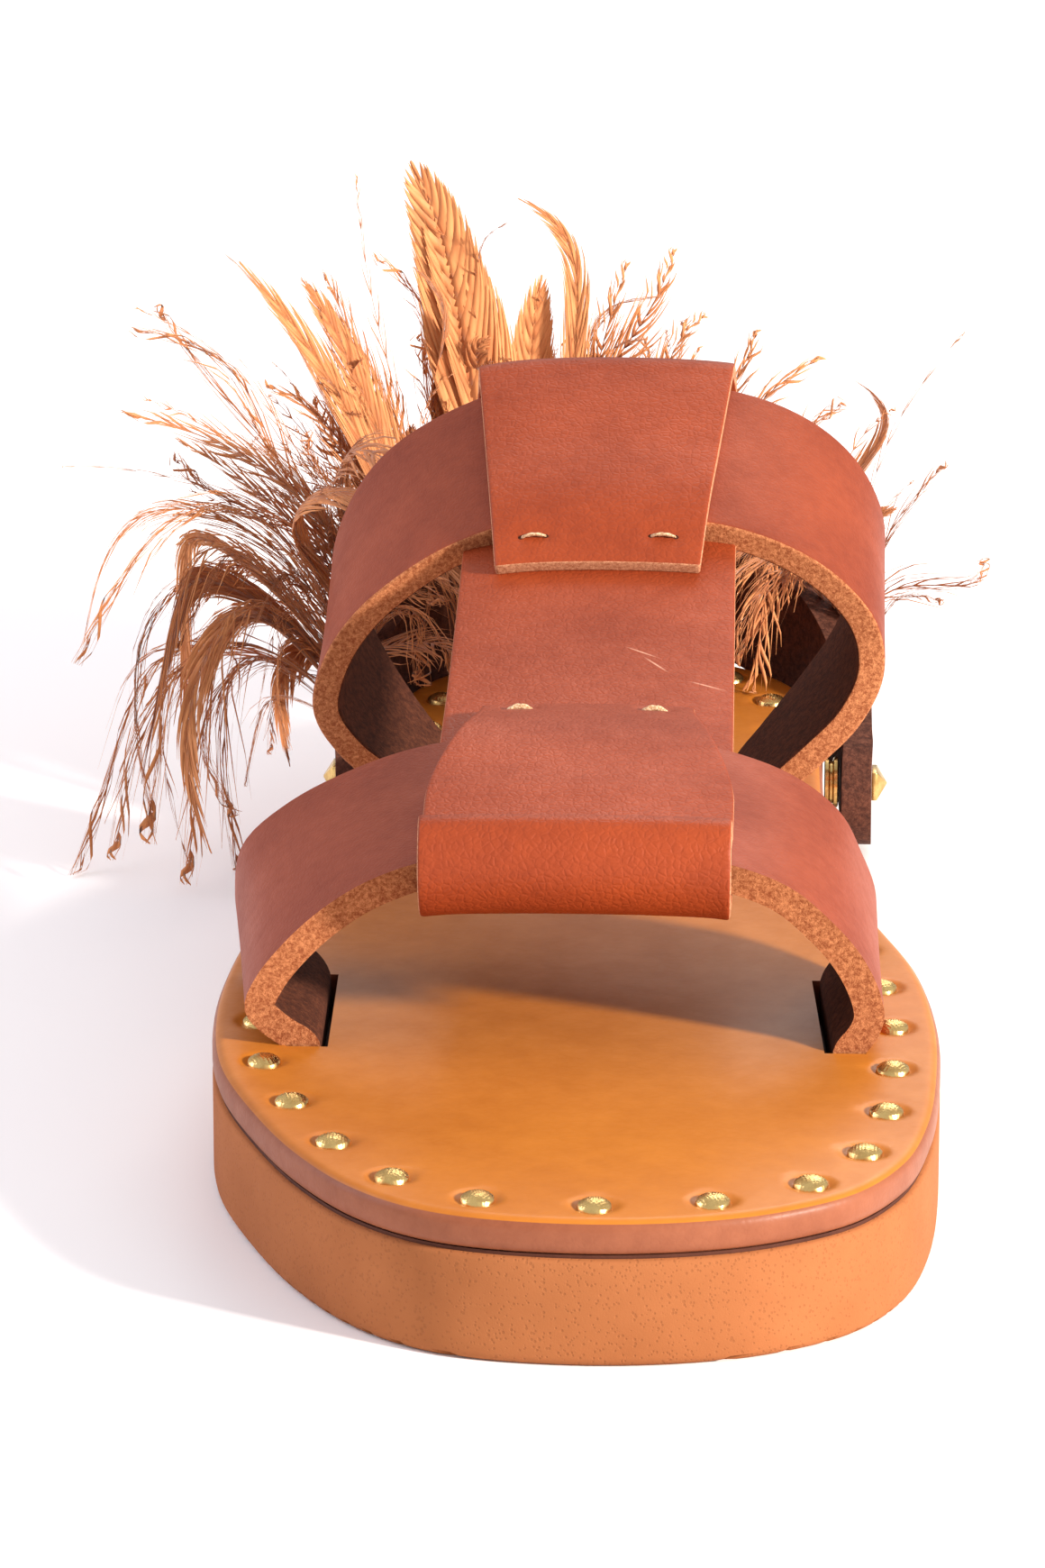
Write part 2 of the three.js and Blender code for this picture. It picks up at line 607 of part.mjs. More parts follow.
const lateralBlades = [
  { at: 0.665, midX: -0.13, midBack: 0.03, midUp: 0.5, tipX: -0.2, tipBack: 0.06, tipUp: 0.93, width: 0.25 },
  { at: 0.67, midX: -0.13, midBack: 0.1, midUp: 0.32, tipX: -0.25, tipBack: 0.18, tipUp: 0.56, width: 0.6 },
  { at: 0.69, midX: -0.14, midBack: 0.05, midUp: 0.4, tipX: -0.28, tipBack: 0.08, tipUp: 0.71, width: 0.6 },
  { at: 0.7, midX: -0.16, midBack: 0.01, midUp: 0.44, tipX: -0.39, tipBack: -0.05, tipUp: 0.79, width: 0.5 },
  { at: 0.71, midX: -0.13, midBack: 0.05, midUp: 0.28, tipX: -0.33, tipBack: 0.05, tipUp: 0.5, width: 0.65 },
  { at: 0.73, midX: -0.22, midBack: -0.05, midUp: 0.4, tipX: -0.57, tipBack: -0.16, tipUp: 0.75, width: 0.35 },
  { at: 0.75, midX: -0.22, midBack: -0.03, midUp: 0.34, tipX: -0.57, tipBack: -0.17, tipUp: 0.54, width: 0.65 },
  { at: 0.77, midX: -0.17, midBack: -0.03, midUp: 0.27, tipX: -0.43, tipBack: -0.1, tipUp: 0.49, width: 0.65 },
];
const sideBlades = [
  { at: 0.82, midX: -0.22, midBack: -0.2, midUp: 0.4, tipX: -0.57, tipBack: -0.42, tipUp: 0.14, width: 0.4 },
  { at: 0.825, midX: -0.21, midBack: -0.05, midUp: 0.27, tipX: -0.35, tipBack: -0.17, tipUp: 0.2, width: 0.6 },
  { at: 0.84, midX: -0.26, midBack: -0.18, midUp: 0.34, tipX: -0.37, tipBack: -0.52, tipUp: -0.15, width: 0.5 },
  { at: 0.85, midX: -0.22, midBack: -0.14, midUp: 0.22, tipX: -0.31, tipBack: -0.54, tipUp: -0.22, width: 0.5 },
  { at: 0.87, midX: -0.27, midBack: -0.16, midUp: 0.17, tipX: -0.42, tipBack: -0.52, tipUp: -0.15, width: 0.4 },
];

// Feather clusters: each covers a stretch of the heel strap, as shares of the strap's length.
const featherClusters = [
  { name: 'feathers_medial', from: 0.2, to: 0.355, blades: medialBlades },
  { name: 'feathers_back_medial', from: 0.365, to: 0.495, blades: backMedialBlades },
  { name: 'feathers_back_lateral', from: 0.505, to: 0.635, blades: backLateralBlades },
  { name: 'feathers_lateral', from: 0.645, to: 0.79, blades: lateralBlades },
  { name: 'feathers_side', from: 0.8, to: 0.9, blades: sideBlades },
];

const quillStandOff = heelStrapThickness / 2 + fitGap + quillBandThickness / 2;
const quillLift = (heelStrapHeight - quillBandHeight) / 2 - quillBandInset;
const quillBandSteps = 8;
const headingStep = 0.02;

// A blade stands on the quill band and bows over its middle to its tip, with its flat side outwards.
function featherBlade(blade) {
  const { point, outward, upward } = heelFrame(blade.at);
  const root = point.clone()
    .addScaledVector(outward, quillStandOff)
    .addScaledVector(upward, quillLift);
  const from = (x, back, up) => (
    root.clone().addScaledVector(new THREE.Vector3(x, back, up), featherLength));
  const middle = from(blade.midX, blade.midBack, blade.midUp);
  const tip = from(blade.tipX, blade.tipBack, blade.tipUp);
  const pull = middle.clone().multiplyScalar(2).addScaledVector(root, -0.5).addScaledVector(tip, -0.5);
  const quill = new THREE.QuadraticBezierCurve3(root, pull, tip);
  let face = outward.clone();
  const rings = featherOutline.map(({ along, width }) => {
    const centre = quill.getPoint(along);
    const before = quill.getPoint(Math.max(along - headingStep, 0));
    const heading = quill.getPoint(Math.min(along + headingStep, 1)).sub(before).normalize();
    face = face.addScaledVector(heading, -face.dot(heading)).normalize();
    const edge = new THREE.Vector3().crossVectors(heading, face);
    const half = width * blade.width * featherWidth / 2;
    return [
      centre.clone().addScaledVector(edge, half),
      centre.clone().addScaledVector(face, -featherThickness / 2),
      centre.clone().addScaledVector(edge, -half),
      centre.clone().addScaledVector(face, featherThickness / 2),
    ];
  });
  return toSolid(loft(rings, [[0, 1, 2], [0, 2, 3]]));
}

function featherCluster(cluster) {
  const band = heelBand({
    from: cluster.from, to: cluster.to, steps: quillBandSteps, standOff: quillStandOff, lift: quillLift,
    thickness: quillBandThickness, heightAt: () => quillBandHeight, corners: plainCorners,
  });
  return toGeometry(cluster.blades.reduce((whole, blade) => whole.add(featherBlade(blade)), band));
}

const materials = {
  sole: new THREE.MeshStandardMaterial({ color: 0xcd7d46, roughness: 0.85, metalness: 0 }),
  footbed: new THREE.MeshStandardMaterial({ color: 0xcd8232, roughness: 0.4, metalness: 0 }),
  upper: new THREE.MeshStandardMaterial({ color: 0xb4522c, roughness: 0.45, metalness: 0 }),
  heelStrap: new THREE.MeshStandardMaterial({ color: 0x3c1a10, roughness: 0.55, metalness: 0 }),
  brass: new THREE.MeshStandardMaterial({ color: 0xd9aa48, roughness: 0.3, metalness: 1 }),
  feathers: new THREE.MeshStandardMaterial({ color: 0xb26a35, roughness: 0.7, metalness: 0 }),
};

const group = new THREE.Group();

function addPiece(name, geometry, material) {
  const mesh = new THREE.Mesh(geometry, material.clone());
  mesh.name = name;
  group.add(mesh);
}

const soleSlab = toSolid(outlineSlab([
  { inset: soleEdgeRadius, height: 0 },
  { inset: soleEdgeRadius * 0.3, height: soleEdgeRadius * 0.3 },
  { inset: 0, height: soleEdgeRadius },
  { inset: 0, height: soleThickness - soleEdgeRadius / 2 },
  { inset: soleEdgeRadius / 2, height: soleThickness },
]));
const soleHole = postHole(2 * postDepth, 0);
addPiece('sole', toGeometry(soleSlab.subtract(soleHole(1)).subtract(soleHole(-1))), materials.sole);

const footbedSlab = toSolid(outlineSlab([
  { inset: footbedEdgeRadius * 0.6, height: soleThickness },
  { inset: 0, height: soleThickness + footbedEdgeRadius * 0.7 },
  { inset: 0, height: footbedTop - footbedEdgeRadius },
  { inset: footbedEdgeRadius * 0.3, height: footbedTop - footbedEdgeRadius * 0.3 },
  { inset: footbedEdgeRadius, height: footbedTop },
]));
const slotted = footbedSlab
  .subtract(strapSolid(frontStrap, fitGap))
  .subtract(strapSolid(rearStrap, fitGap));
addPiece('footbed', toGeometry(slotted), materials.footbed);

const upper = withoutPockets(strapSolid(frontStrap).add(strapSolid(rearStrap)).add(stripSolid()));
addPiece('upper', toGeometry(upper), materials.upper);

addPiece('heel_strap', toGeometry(heelStrapSolid()), materials.heelStrap);
for (const [side, direction] of [['medial', 1], ['lateral', -1]]) {
  addPiece(`spacer_${side}`, spacerGeometry(direction), materials.brass);
  addPiece(`stud_${side}`, pyramidStudGeometry(direction), materials.brass);
}

for (const cluster of featherClusters) {
  addPiece(cluster.name, featherCluster(cluster), materials.feathers);
}

const studRing = outlineRing(footbedStudInset, 360);
const studRingLength = studRing.reduce((sum, point, place) => (
  sum + point.distanceTo(studRing[(place + 1) % studRing.length])), 0);
const footbedStudCount = Math.round(studRingLength / footbedStudPitch);
outlineRing(footbedStudInset, footbedStudCount).forEach((point, place) => {
  const number = String(place + 1).padStart(2, '0');
  addPiece(`footbed_stud_${number}`, footbedStudGeometry(point), materials.brass);
});

export default group;
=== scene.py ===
import bisect
import math
import random
import bmesh
import bpy
from mathutils import Matrix, Vector, noise


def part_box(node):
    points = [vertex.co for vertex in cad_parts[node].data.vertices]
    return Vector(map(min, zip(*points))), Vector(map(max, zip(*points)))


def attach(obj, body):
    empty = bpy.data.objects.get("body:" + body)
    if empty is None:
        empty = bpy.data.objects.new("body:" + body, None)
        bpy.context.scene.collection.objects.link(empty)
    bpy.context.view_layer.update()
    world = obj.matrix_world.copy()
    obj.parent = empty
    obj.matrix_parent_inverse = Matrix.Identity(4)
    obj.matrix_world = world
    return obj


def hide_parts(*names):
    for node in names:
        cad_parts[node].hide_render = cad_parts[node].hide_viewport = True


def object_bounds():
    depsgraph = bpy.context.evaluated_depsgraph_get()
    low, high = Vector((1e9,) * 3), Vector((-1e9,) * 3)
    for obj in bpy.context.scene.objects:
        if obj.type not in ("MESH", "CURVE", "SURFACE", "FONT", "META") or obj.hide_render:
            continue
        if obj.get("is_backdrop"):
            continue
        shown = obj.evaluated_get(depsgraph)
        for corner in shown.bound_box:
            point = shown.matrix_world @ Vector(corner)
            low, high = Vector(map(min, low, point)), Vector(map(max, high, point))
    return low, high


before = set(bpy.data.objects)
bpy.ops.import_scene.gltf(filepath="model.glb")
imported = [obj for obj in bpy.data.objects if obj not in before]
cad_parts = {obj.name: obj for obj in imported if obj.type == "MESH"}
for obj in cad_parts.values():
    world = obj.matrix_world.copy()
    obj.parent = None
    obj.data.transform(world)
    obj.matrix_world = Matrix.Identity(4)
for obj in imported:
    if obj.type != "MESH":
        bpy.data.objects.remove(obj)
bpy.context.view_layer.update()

mm = 0.001  # sizes below are in millimetres, and each mesh is scaled once when it is finished
up = Vector((0, 0, 1))

# Curves and ways of shaping a grid


def mix(a, b, share):
    return a + (b - a) * share


def ease(value, low, high):
    share = min(max((value - low) / (high - low), 0), 1)
    return share * share * (3 - 2 * share)


def lineAt(points, share, closed=False):
    # smooth line through the points, with its speed eased by the distance between them
    count = len(points)
    place = share * (count if closed else count - 1)
    first = math.floor(place)
    if not closed:
        first = min(max(first, 0), count - 2)
    part = place - first
    one, two = points[first % count], points[(first + 1) % count]
    before = points[(first - 1) % count] if closed or first > 0 else one + (one - two)
    after = points[(first + 2) % count] if closed or first + 2 < count else two + (two - one)
    gaps = [max((b - a).length, 1e-6) ** 0.5 for a, b in ((before, one), (one, two), (two, after))]
    startPull = (one - before) / gaps[0] - (two - before) / (gaps[0] + gaps[1]) + (two - one) / gaps[1]
    endPull = (two - one) / gaps[1] - (after - one) / (gaps[1] + gaps[2]) + (after - two) / gaps[2]
    startPull, endPull = startPull * gaps[1], endPull * gaps[1]
    cube = 2 * one - 2 * two + startPull + endPull
    square = 3 * two - 3 * one - 2 * startPull - endPull
    return ((cube * part + square) * part + startPull) * part + one


def headingAt(points, share, closed=False):
    step = 0.0005
    low, high = (share - step, share + step) if closed else (max(share - step, 0), min(share + step, 1))
    return (lineAt(points, high, closed) - lineAt(points, low, closed)).normalized()


def evenShares(points, count, closed=False):
    fineSteps = 1200
    dense = [lineAt(points, step / fineSteps, closed) for step in range(fineSteps + 1)]
    lengths = [0.0]
    for a, b in zip(dense, dense[1:]):
        lengths.append(lengths[-1] + (b - a).length)
    shares = []
    for place in range(count):
        wanted = lengths[-1] * place / (count if closed else count - 1)
        after = min(max(bisect.bisect_left(lengths, wanted), 1), fineSteps)
        gap = lengths[after] - lengths[after - 1]
        shares.append((after - 1 + (wanted - lengths[after - 1]) / gap) / fineSteps)
    return shares


def mapGrid(bm, columns, rows, placeAt):
    # a flat grid whose corners are carried to their places on a surface
    made = bmesh.ops.create_grid(bm, x_segments=columns, y_segments=rows, size=0.5)
    for vert in made["verts"]:
        vert.co = placeAt(vert.co.x + 0.5, vert.co.y + 0.5)
    return made["verts"]


def closeSeams(bm):
    bmesh.ops.remove_doubles(bm, verts=bm.verts, dist=0.002)
    bmesh.ops.dissolve_degenerate(bm, edges=bm.edges, dist=0.0005)


def fillRims(bm):
    rims = [edge for edge in bm.edges if edge.is_boundary]
    return bmesh.ops.holes_fill(bm, edges=rims, sides=0)["faces"]


def faceOut(bm):
    bmesh.ops.recalc_face_normals(bm, faces=bm.faces)


def makePiece(name, bm, materials, nodes, sharp=None):
    bmesh.ops.scale(bm, vec=(mm, mm, mm), verts=bm.verts)
    mesh = bpy.data.meshes.new(name)
    bm.to_mesh(mesh)
    bm.free()
    mesh.shade_smooth()
    if sharp is not None:
        mesh.set_sharp_from_angle(angle=math.radians(sharp))
    for material in materials:
        mesh.materials.append(material)
    piece = bpy.data.objects.new(name, mesh)
    bpy.context.scene.collection.objects.link(piece)
    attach(piece, "root")
    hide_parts(*nodes)
    return piece


def addWall(piece, thickness, bevelWidth, bevelSegments=3):
    # outside, inside and cut edge take the piece's first, second and third material
    wall = piece.modifiers.new("wall", "SOLIDIFY")
    wall.thickness = thickness * mm
    wall.offset = 0
    wall.material_offset = 1
    wall.material_offset_rim = 2
    rounding = piece.modifiers.new("rounding", "BEVEL")
    rounding.width = bevelWidth * mm
    rounding.segments = bevelSegments
    rounding.limit_method = "ANGLE"
    rounding.angle_limit = math.radians(50)
    rounding.use_clamp_overlap = True
    smoothing = piece.modifiers.new("smoothing", "WEIGHTED_NORMAL")
    smoothing.keep_sharp = True


# Camera and light

studio = {
    "cameraPlace": (33.2, -1065.1, 378.5),
    "aimPoint": (-10.0, 3.0, 38.0),
    "lens": 176.0,
    "floorSize": 30000.0,
    "floorColour": (0.97, 0.96, 0.955, 1),
    "worldColour": (0.98, 0.965, 0.98, 1),
    "worldStrength": 0.66,
    "lights": [
        # name, place, aim, size, power, colour
        ("keyLight", (1010, -620, 530), (0, 0, 30), 120, 32, (1.0, 0.94, 0.86)),
        ("coolSide", (-1100, 100, 600), (0, 0, 30), 900, 8.5, (0.92, 0.86, 1.0)),
        ("softRear", (200, 1100, 900), (0, 60, 60), 700, 5, (1.0, 0.95, 0.9)),
    ],
}


def aimed(thing, place, aim):
    thing.location = Vector(place) * mm
    thing.rotation_mode = "QUATERNION"
    thing.rotation_quaternion = (Vector(aim) - Vector(place)).to_track_quat("-Z", "Y")
    bpy.context.scene.collection.objects.link(thing)


def setStudio():
    cameraData = bpy.data.cameras.new("camera")
    cameraData.lens = studio["lens"]
    cameraData.sensor_width = 36
    camera = bpy.data.objects.new("camera", cameraData)
    aimed(camera, studio["cameraPlace"], studio["aimPoint"])
    bpy.context.scene.camera = camera
    for name, place, aim, size, power, colour in studio["lights"]:
        light = bpy.data.lights.new(name, "AREA")
        light.size = size * mm
        light.energy = power
        light.color = colour
        aimed(bpy.data.objects.new(name, light), place, aim)
    world = bpy.data.worlds.new("studio")
    world.use_nodes = True
    world.node_tree.nodes["Background"].inputs["Color"].default_value = studio["worldColour"]
    world.node_tree.nodes["Background"].inputs["Strength"].default_value = studio["worldStrength"]
    bpy.context.scene.world = world
    bpy.context.scene.view_settings.view_transform = "Standard"
    bm = bmesh.new()
    bmesh.ops.create_grid(bm, x_segments=1, y_segments=1, size=studio["floorSize"] * mm / 2)
    mesh = bpy.data.meshes.new("floor")
    bm.to_mesh(mesh)
    bm.free()
    floor = bpy.data.objects.new("floor", mesh)
    bpy.context.scene.collection.objects.link(floor)
    paper = bpy.data.materials.new("paperFloor")
    paper.use_nodes = True
    paper.node_tree.nodes["Principled BSDF"].inputs["Base Color"].default_value = studio["floorColour"]
    paper.node_tree.nodes["Principled BSDF"].inputs["Roughness"].default_value = 0.9
    mesh.materials.append(paper)
    floor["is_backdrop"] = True


setStudio()
print("camera, floor and light are set")

# Materials


def addNode(tree, kind, inputs=None, **settings):
    node = tree.nodes.new(kind)
    for key, value in settings.items():
        setattr(node, key, value)
    for socket, value in (inputs or {}).items():
        if isinstance(value, bpy.types.NodeSocket):
            tree.links.new(value, node.inputs[socket])
        else:
            node.inputs[socket].default_value = value
    return node


def calculate(tree, operation, first, second=0.0, clamp=False):
    node = addNode(tree, "ShaderNodeMath", {0: first, 1: second}, operation=operation)
    node.use_clamp = clamp
    return node.outputs[0]


def blendColour(tree, share, first, second):
    node = addNode(tree, "ShaderNodeMix", {0: share, 6: first, 7: second}, data_type="RGBA")
    return node.outputs[2]


def noiseValue(tree, vector, scale, detail=3.0, roughness=0.55, distortion=0.0):
    return addNode(tree, "ShaderNodeTexNoise", {
        "Vector": vector, "Scale": scale, "Detail": detail,
        "Roughness": roughness, "Distortion": distortion,
    }).outputs["Fac"]


def rangeValue(tree, value, fromLow, fromHigh, toLow=0.0, toHigh=1.0):
    return addNode(tree, "ShaderNodeMapRange", {
        "Value": value, "From Min": fromLow, "From Max": fromHigh, "To Min": toLow, "To Max": toHigh,
    }).outputs["Result"]


def newGroup(name, numbers, outputs):
    group = bpy.data.node_groups.new(name, "ShaderNodeTree")
    group.interface.new_socket("Vector", in_out="INPUT", socket_type="NodeSocketVector")
    for label, value in numbers.items():
        socket = group.interface.new_socket(label, in_out="INPUT", socket_type="NodeSocketFloat")
        socket.default_value = value
    for label in outputs:
        group.interface.new_socket(label, in_out="OUTPUT", socket_type="NodeSocketFloat")
    return group, addNode(group, "NodeGroupInput"), addNode(group, "NodeGroupOutput")


def makeGrainGroup():
    # fine leather grain with its pores, and the slow mottling of the dye
    group, start, end = newGroup("leatherGrain", {"Scale": 900.0}, ("Height", "Mottle"))
    vector, scale = start.outputs["Vector"], start.outputs["Scale"]
    cells = addNode(group, "ShaderNodeTexVoronoi", {"Vector": vector, "Scale": scale}, feature="DISTANCE_TO_EDGE")
    pebbles = rangeValue(group, cells.outputs["Distance"], 0.0, 0.22)
    fine = noiseValue(group, vector, calculate(group, "MULTIPLY", scale, 1.7), 4)
    height = calculate(group, "ADD", calculate(group, "MULTIPLY", pebbles, 0.6), fine)
    broad = noiseValue(group, vector, calculate(group, "MULTIPLY", scale, 0.035), 4, 0.6)
    spots = noiseValue(group, vector, calculate(group, "MULTIPLY", scale, 0.5), 3, 0.6)
    mottle = calculate(group, "ADD", calculate(group, "MULTIPLY", broad, 0.7), calculate(group, "MULTIPLY", spots, 0.3))
    group.links.new(height, end.inputs["Height"])
    group.links.new(rangeValue(group, mottle, 0.36, 0.66), end.inputs["Mottle"])
    return group


def makeFibreGroup():
    # short matted fibres, as on suede and on the cut edge of leather
    group, start, end = newGroup("leatherFibre", {"Scale": 1500.0}, ("Height", "Fleck"))
    vector, scale = start.outputs["Vector"], start.outputs["Scale"]
    matted = noiseValue(group, vector, scale, 5, 0.7, 0.6)
    tufts = noiseValue(group, vector, calculate(group, "MULTIPLY", scale, 0.35), 3, 0.6, 0.4)
    height = calculate(group, "ADD", matted, calculate(group, "MULTIPLY", tufts, 0.8))
    group.links.new(height, end.inputs["Height"])
    group.links.new(rangeValue(group, calculate(group, "MULTIPLY", matted, tufts), 0.17, 0.36), end.inputs["Fleck"])
    return group


def makePoreGroup():
    # open pores of foam: small pits of uneven size
    group, start, end = newGroup("foamPores", {"Scale": 700.0}, ("Height", "Pit"))
    vector, scale = start.outputs["Vector"], start.outputs["Scale"]
    cells = addNode(group, "ShaderNodeTexVoronoi", {"Vector": vector, "Scale": scale, "Randomness": 1.0})
    uneven = noiseValue(group, vector, calculate(group, "MULTIPLY", scale, 0.4), 3)
    pit = calculate(group, "SUBTRACT", calculate(group, "MULTIPLY", uneven, 0.62), cells.outputs["Distance"])
    pit = rangeValue(group, pit, -0.02, 0.14)
    rough = noiseValue(group, vector, calculate(group, "MULTIPLY", scale, 2.2), 4)
    height = calculate(group, "SUBTRACT", calculate(group, "MULTIPLY", rough, 0.5), pit)
    group.links.new(height, end.inputs["Height"])
    group.links.new(pit, end.inputs["Pit"])
    return group


grainGroup = makeGrainGroup()
fibreGroup = makeFibreGroup()
poreGroup = makePoreGroup()


def startMaterial(name, roughness, **constants):
    material = bpy.data.materials.new(name)
    material.use_nodes = True
    tree = material.node_tree
    shader = tree.nodes["Principled BSDF"]
    shader.inputs["Specular IOR Level"].default_value = 0.2
    shader.inputs["Roughness"].default_value = roughness
    for label, value in constants.items():
        shader.inputs[label.replace("_", " ")].default_value = value
    place = addNode(tree, "ShaderNodeTexCoord").outputs["Object"]
    return material, tree, shader, place


def addBump(tree, shader, height, strength, distance):
    bump = addNode(tree, "ShaderNodeBump", {"Height": height, "Strength": strength, "Distance": distance * mm})
    tree.links.new(bump.outputs["Normal"], shader.inputs["Normal"])


def placeGroup(tree, group, vector, scale):
    node = tree.nodes.new("ShaderNodeGroup")
    node.node_tree = group
    tree.links.new(vector, node.inputs["Vector"])
    node.inputs["Scale"].default_value = scale
    return node


def makeLeather(name, deep, light, grainScale, grainDepth, roughness, coat):
    material, tree, shader, place = startMaterial(name, roughness, Coat_Roughness=0.32)
    grain = placeGroup(tree, grainGroup, place, grainScale)
    colour = blendColour(tree, grain.outputs["Mottle"], deep, light)
    tree.links.new(colour, shader.inputs["Base Color"])
    gloss = rangeValue(tree, grain.outputs["Mottle"], 0, 1, roughness + 0.08, roughness - 0.06)
    tree.links.new(gloss, shader.inputs["Roughness"])
    coatMask = rangeValue(tree, grain.outputs["Height"], 0.2, 1.2, coat * 0.4, coat)
    tree.links.new(coatMask, shader.inputs["Coat Weight"])
    addBump(tree, shader, grain.outputs["Height"], 0.5, grainDepth)
    if name == "chestnutStrip":
        addScratches(tree, shader, place, colour)
    return material


scratches = {
    "size": (0.22, 3.2, 30.0),
    "colour": (0.75, 0.4, 0.27, 1),
    # place and turn of each
    "marks": [((7.2, 10.2, 58), 58), ((9.4, 6.6, 57), 40), ((17.0, 1.2, 56), 72)],
}


def addScratches(tree, shader, place, colour):
    # short pale scratches across the strip between the straps
    for spot, turn in scratches["marks"]:
        flat = addNode(tree, "ShaderNodeMapping", {
            "Vector": place, "Location": Vector(spot) * mm, "Rotation": (0, 0, math.radians(turn)),
            "Scale": Vector(scratches["size"]) * mm,
        }, vector_type="TEXTURE")
        mark = addNode(tree, "ShaderNodeTexGradient", {"Vector": flat.outputs[0]}, gradient_type="SPHERICAL")
        share = calculate(tree, "MULTIPLY", mark.outputs["Fac"], 0.9)
        colour = blendColour(tree, share, colour, scratches["colour"])
    tree.links.new(colour, shader.inputs["Base Color"])


def makeFibres(name, dark, pale, scale, depth, roughness):
    material, tree, shader, place = startMaterial(name, roughness)
    fibre = placeGroup(tree, fibreGroup, place, scale)
    tree.links.new(blendColour(tree, fibre.outputs["Fleck"], dark, pale), shader.inputs["Base Color"])
    addBump(tree, shader, fibre.outputs["Height"], 0.9, depth)
    return material


def makeFoam():
    material, tree, shader, place = startMaterial("crepeFoam", 0.86)
    pores = placeGroup(tree, poreGroup, place, 1500)
    cloud = rangeValue(tree, noiseValue(tree, place, 40, 4, 0.6), 0.35, 0.68)
    base = blendColour(tree, cloud, (0.32, 0.105, 0.034, 1), (0.39, 0.135, 0.046, 1))
    # painted shade: the pits are darkened towards a deep brown
    colour = blendColour(tree, calculate(tree, "MULTIPLY", pores.outputs["Pit"], 0.3), base, (0.22, 0.07, 0.022, 1))
    tree.links.new(colour, shader.inputs["Base Color"])
    addBump(tree, shader, pores.outputs["Height"], 0.4, 0.16)
    return material


def makeBrass():
    material, tree, shader, place = startMaterial("brass", 0.27, Metallic=1.0)
    tarnish = rangeValue(tree, noiseValue(tree, place, 380, 5, 0.62), 0.42, 0.7)
    colour = blendColour(tree, tarnish, (0.86, 0.6, 0.23, 1), (0.52, 0.31, 0.1, 1))
    tree.links.new(colour, shader.inputs["Base Color"])
    tree.links.new(rangeValue(tree, tarnish, 0, 1, 0.22, 0.42), shader.inputs["Roughness"])
    addBump(tree, shader, noiseValue(tree, place, 2600, 3), 0.12, 0.05)
    return material


def makeThread():
    material, tree, shader, place = startMaterial("linenThread", 0.7)
    ply = noiseValue(tree, place, 3800, 3)
    colour = blendColour(tree, rangeValue(tree, ply, 0.4, 0.65), (0.42, 0.23, 0.11, 1), (0.83, 0.62, 0.4, 1))
    tree.links.new(colour, shader.inputs["Base Color"])
    addBump(tree, shader, ply, 0.5, 0.1)
    return material


def makeFeatherMaterial():
    material, tree, shader, place = startMaterial("copperFeather", 0.55, Sheen_Weight=0.25, Sheen_Roughness=0.4)
    tone = addNode(tree, "ShaderNodeAttribute", attribute_name="tone").outputs["Fac"]
    barb = addNode(tree, "ShaderNodeAttribute", attribute_name="barb").outputs["Fac"]
    reach = addNode(tree, "ShaderNodeAttribute", attribute_name="reach").outputs["Fac"]
    dark = blendColour(tree, tone, (0.17, 0.045, 0.018, 1), (0.44, 0.135, 0.046, 1))
    light = blendColour(tree, tone, (0.45, 0.15, 0.052, 1), (0.88, 0.38, 0.145, 1))
    lines = addNode(tree, "ShaderNodeTexNoise", {"W": calculate(tree, "MULTIPLY", barb, 260.0), "Scale": 1.0, "Detail": 2.0}, noise_dimensions="1D")
    streak = rangeValue(tree, lines.outputs["Fac"], 0.32, 0.68)
    # painted light: the barbs grow lighter towards their tips, standing in for light shining through the feathers
    edge = calculate(tree, "MULTIPLY", reach, 0.5)
    share = calculate(tree, "ADD", calculate(tree, "MULTIPLY", streak, 0.65), edge, clamp=True)
    tree.links.new(blendColour(tree, share, dark, light), shader.inputs["Base Color"])
    addBump(tree, shader, streak, 0.35, 0.25)
    return material


leatherOutside = makeLeather("chestnutLeather", (0.2, 0.033, 0.012, 1), (0.29, 0.053, 0.018, 1), 1150, 0.08, 0.52, 0.04)
leatherStrip = makeLeather("chestnutStrip", (0.23, 0.034, 0.009, 1), (0.33, 0.054, 0.014, 1), 950, 0.15, 0.52, 0.03)
leatherInside = makeFibres("brownSuede", (0.045, 0.011, 0.005, 1), (0.11, 0.032, 0.014, 1), 2600, 0.12, 0.9)
leatherEdge = makeFibres("rawEdge", (0.25, 0.066, 0.022, 1), (0.58, 0.23, 0.095, 1), 5200, 0.13, 0.85)
stripEdge = makeFibres("stripEdge", (0.36, 0.13, 0.06, 1), (0.66, 0.34, 0.19, 1), 5600, 0.11, 0.8)
heelLeather = makeLeather("oxbloodLeather", (0.055, 0.011, 0.006, 1), (0.11, 0.022, 0.011, 1), 1000, 0.1, 0.34, 0.3)
heelEdge = makeFibres("oxbloodEdge", (0.05, 0.016, 0.01, 1), (0.14, 0.05, 0.03, 1), 2600, 0.1, 0.7)
footbedTopLeather = makeLeather("goldenFootbed", (0.42, 0.125, 0.012, 1), (0.54, 0.18, 0.022, 1), 520, 0.02, 0.36, 0.12)
footbedSide = makeLeather("footbedEdge", (0.22, 0.062, 0.027, 1), (0.31, 0.098, 0.045, 1), 900, 0.04, 0.46, 0.1)
# a dark band along the top of the sole: painted shade of the gap under the footbed
paintedGapShade = makeLeather("paintedGapShade", (0.05, 0.015, 0.009, 1), (0.1, 0.03, 0.016, 1), 900, 0.05, 0.7, 0.0)
foam = makeFoam()
brass = makeBrass()
thread = makeThread()
featherMaterial = makeFeatherMaterial()
print("materials are made")

# Sole and footbed

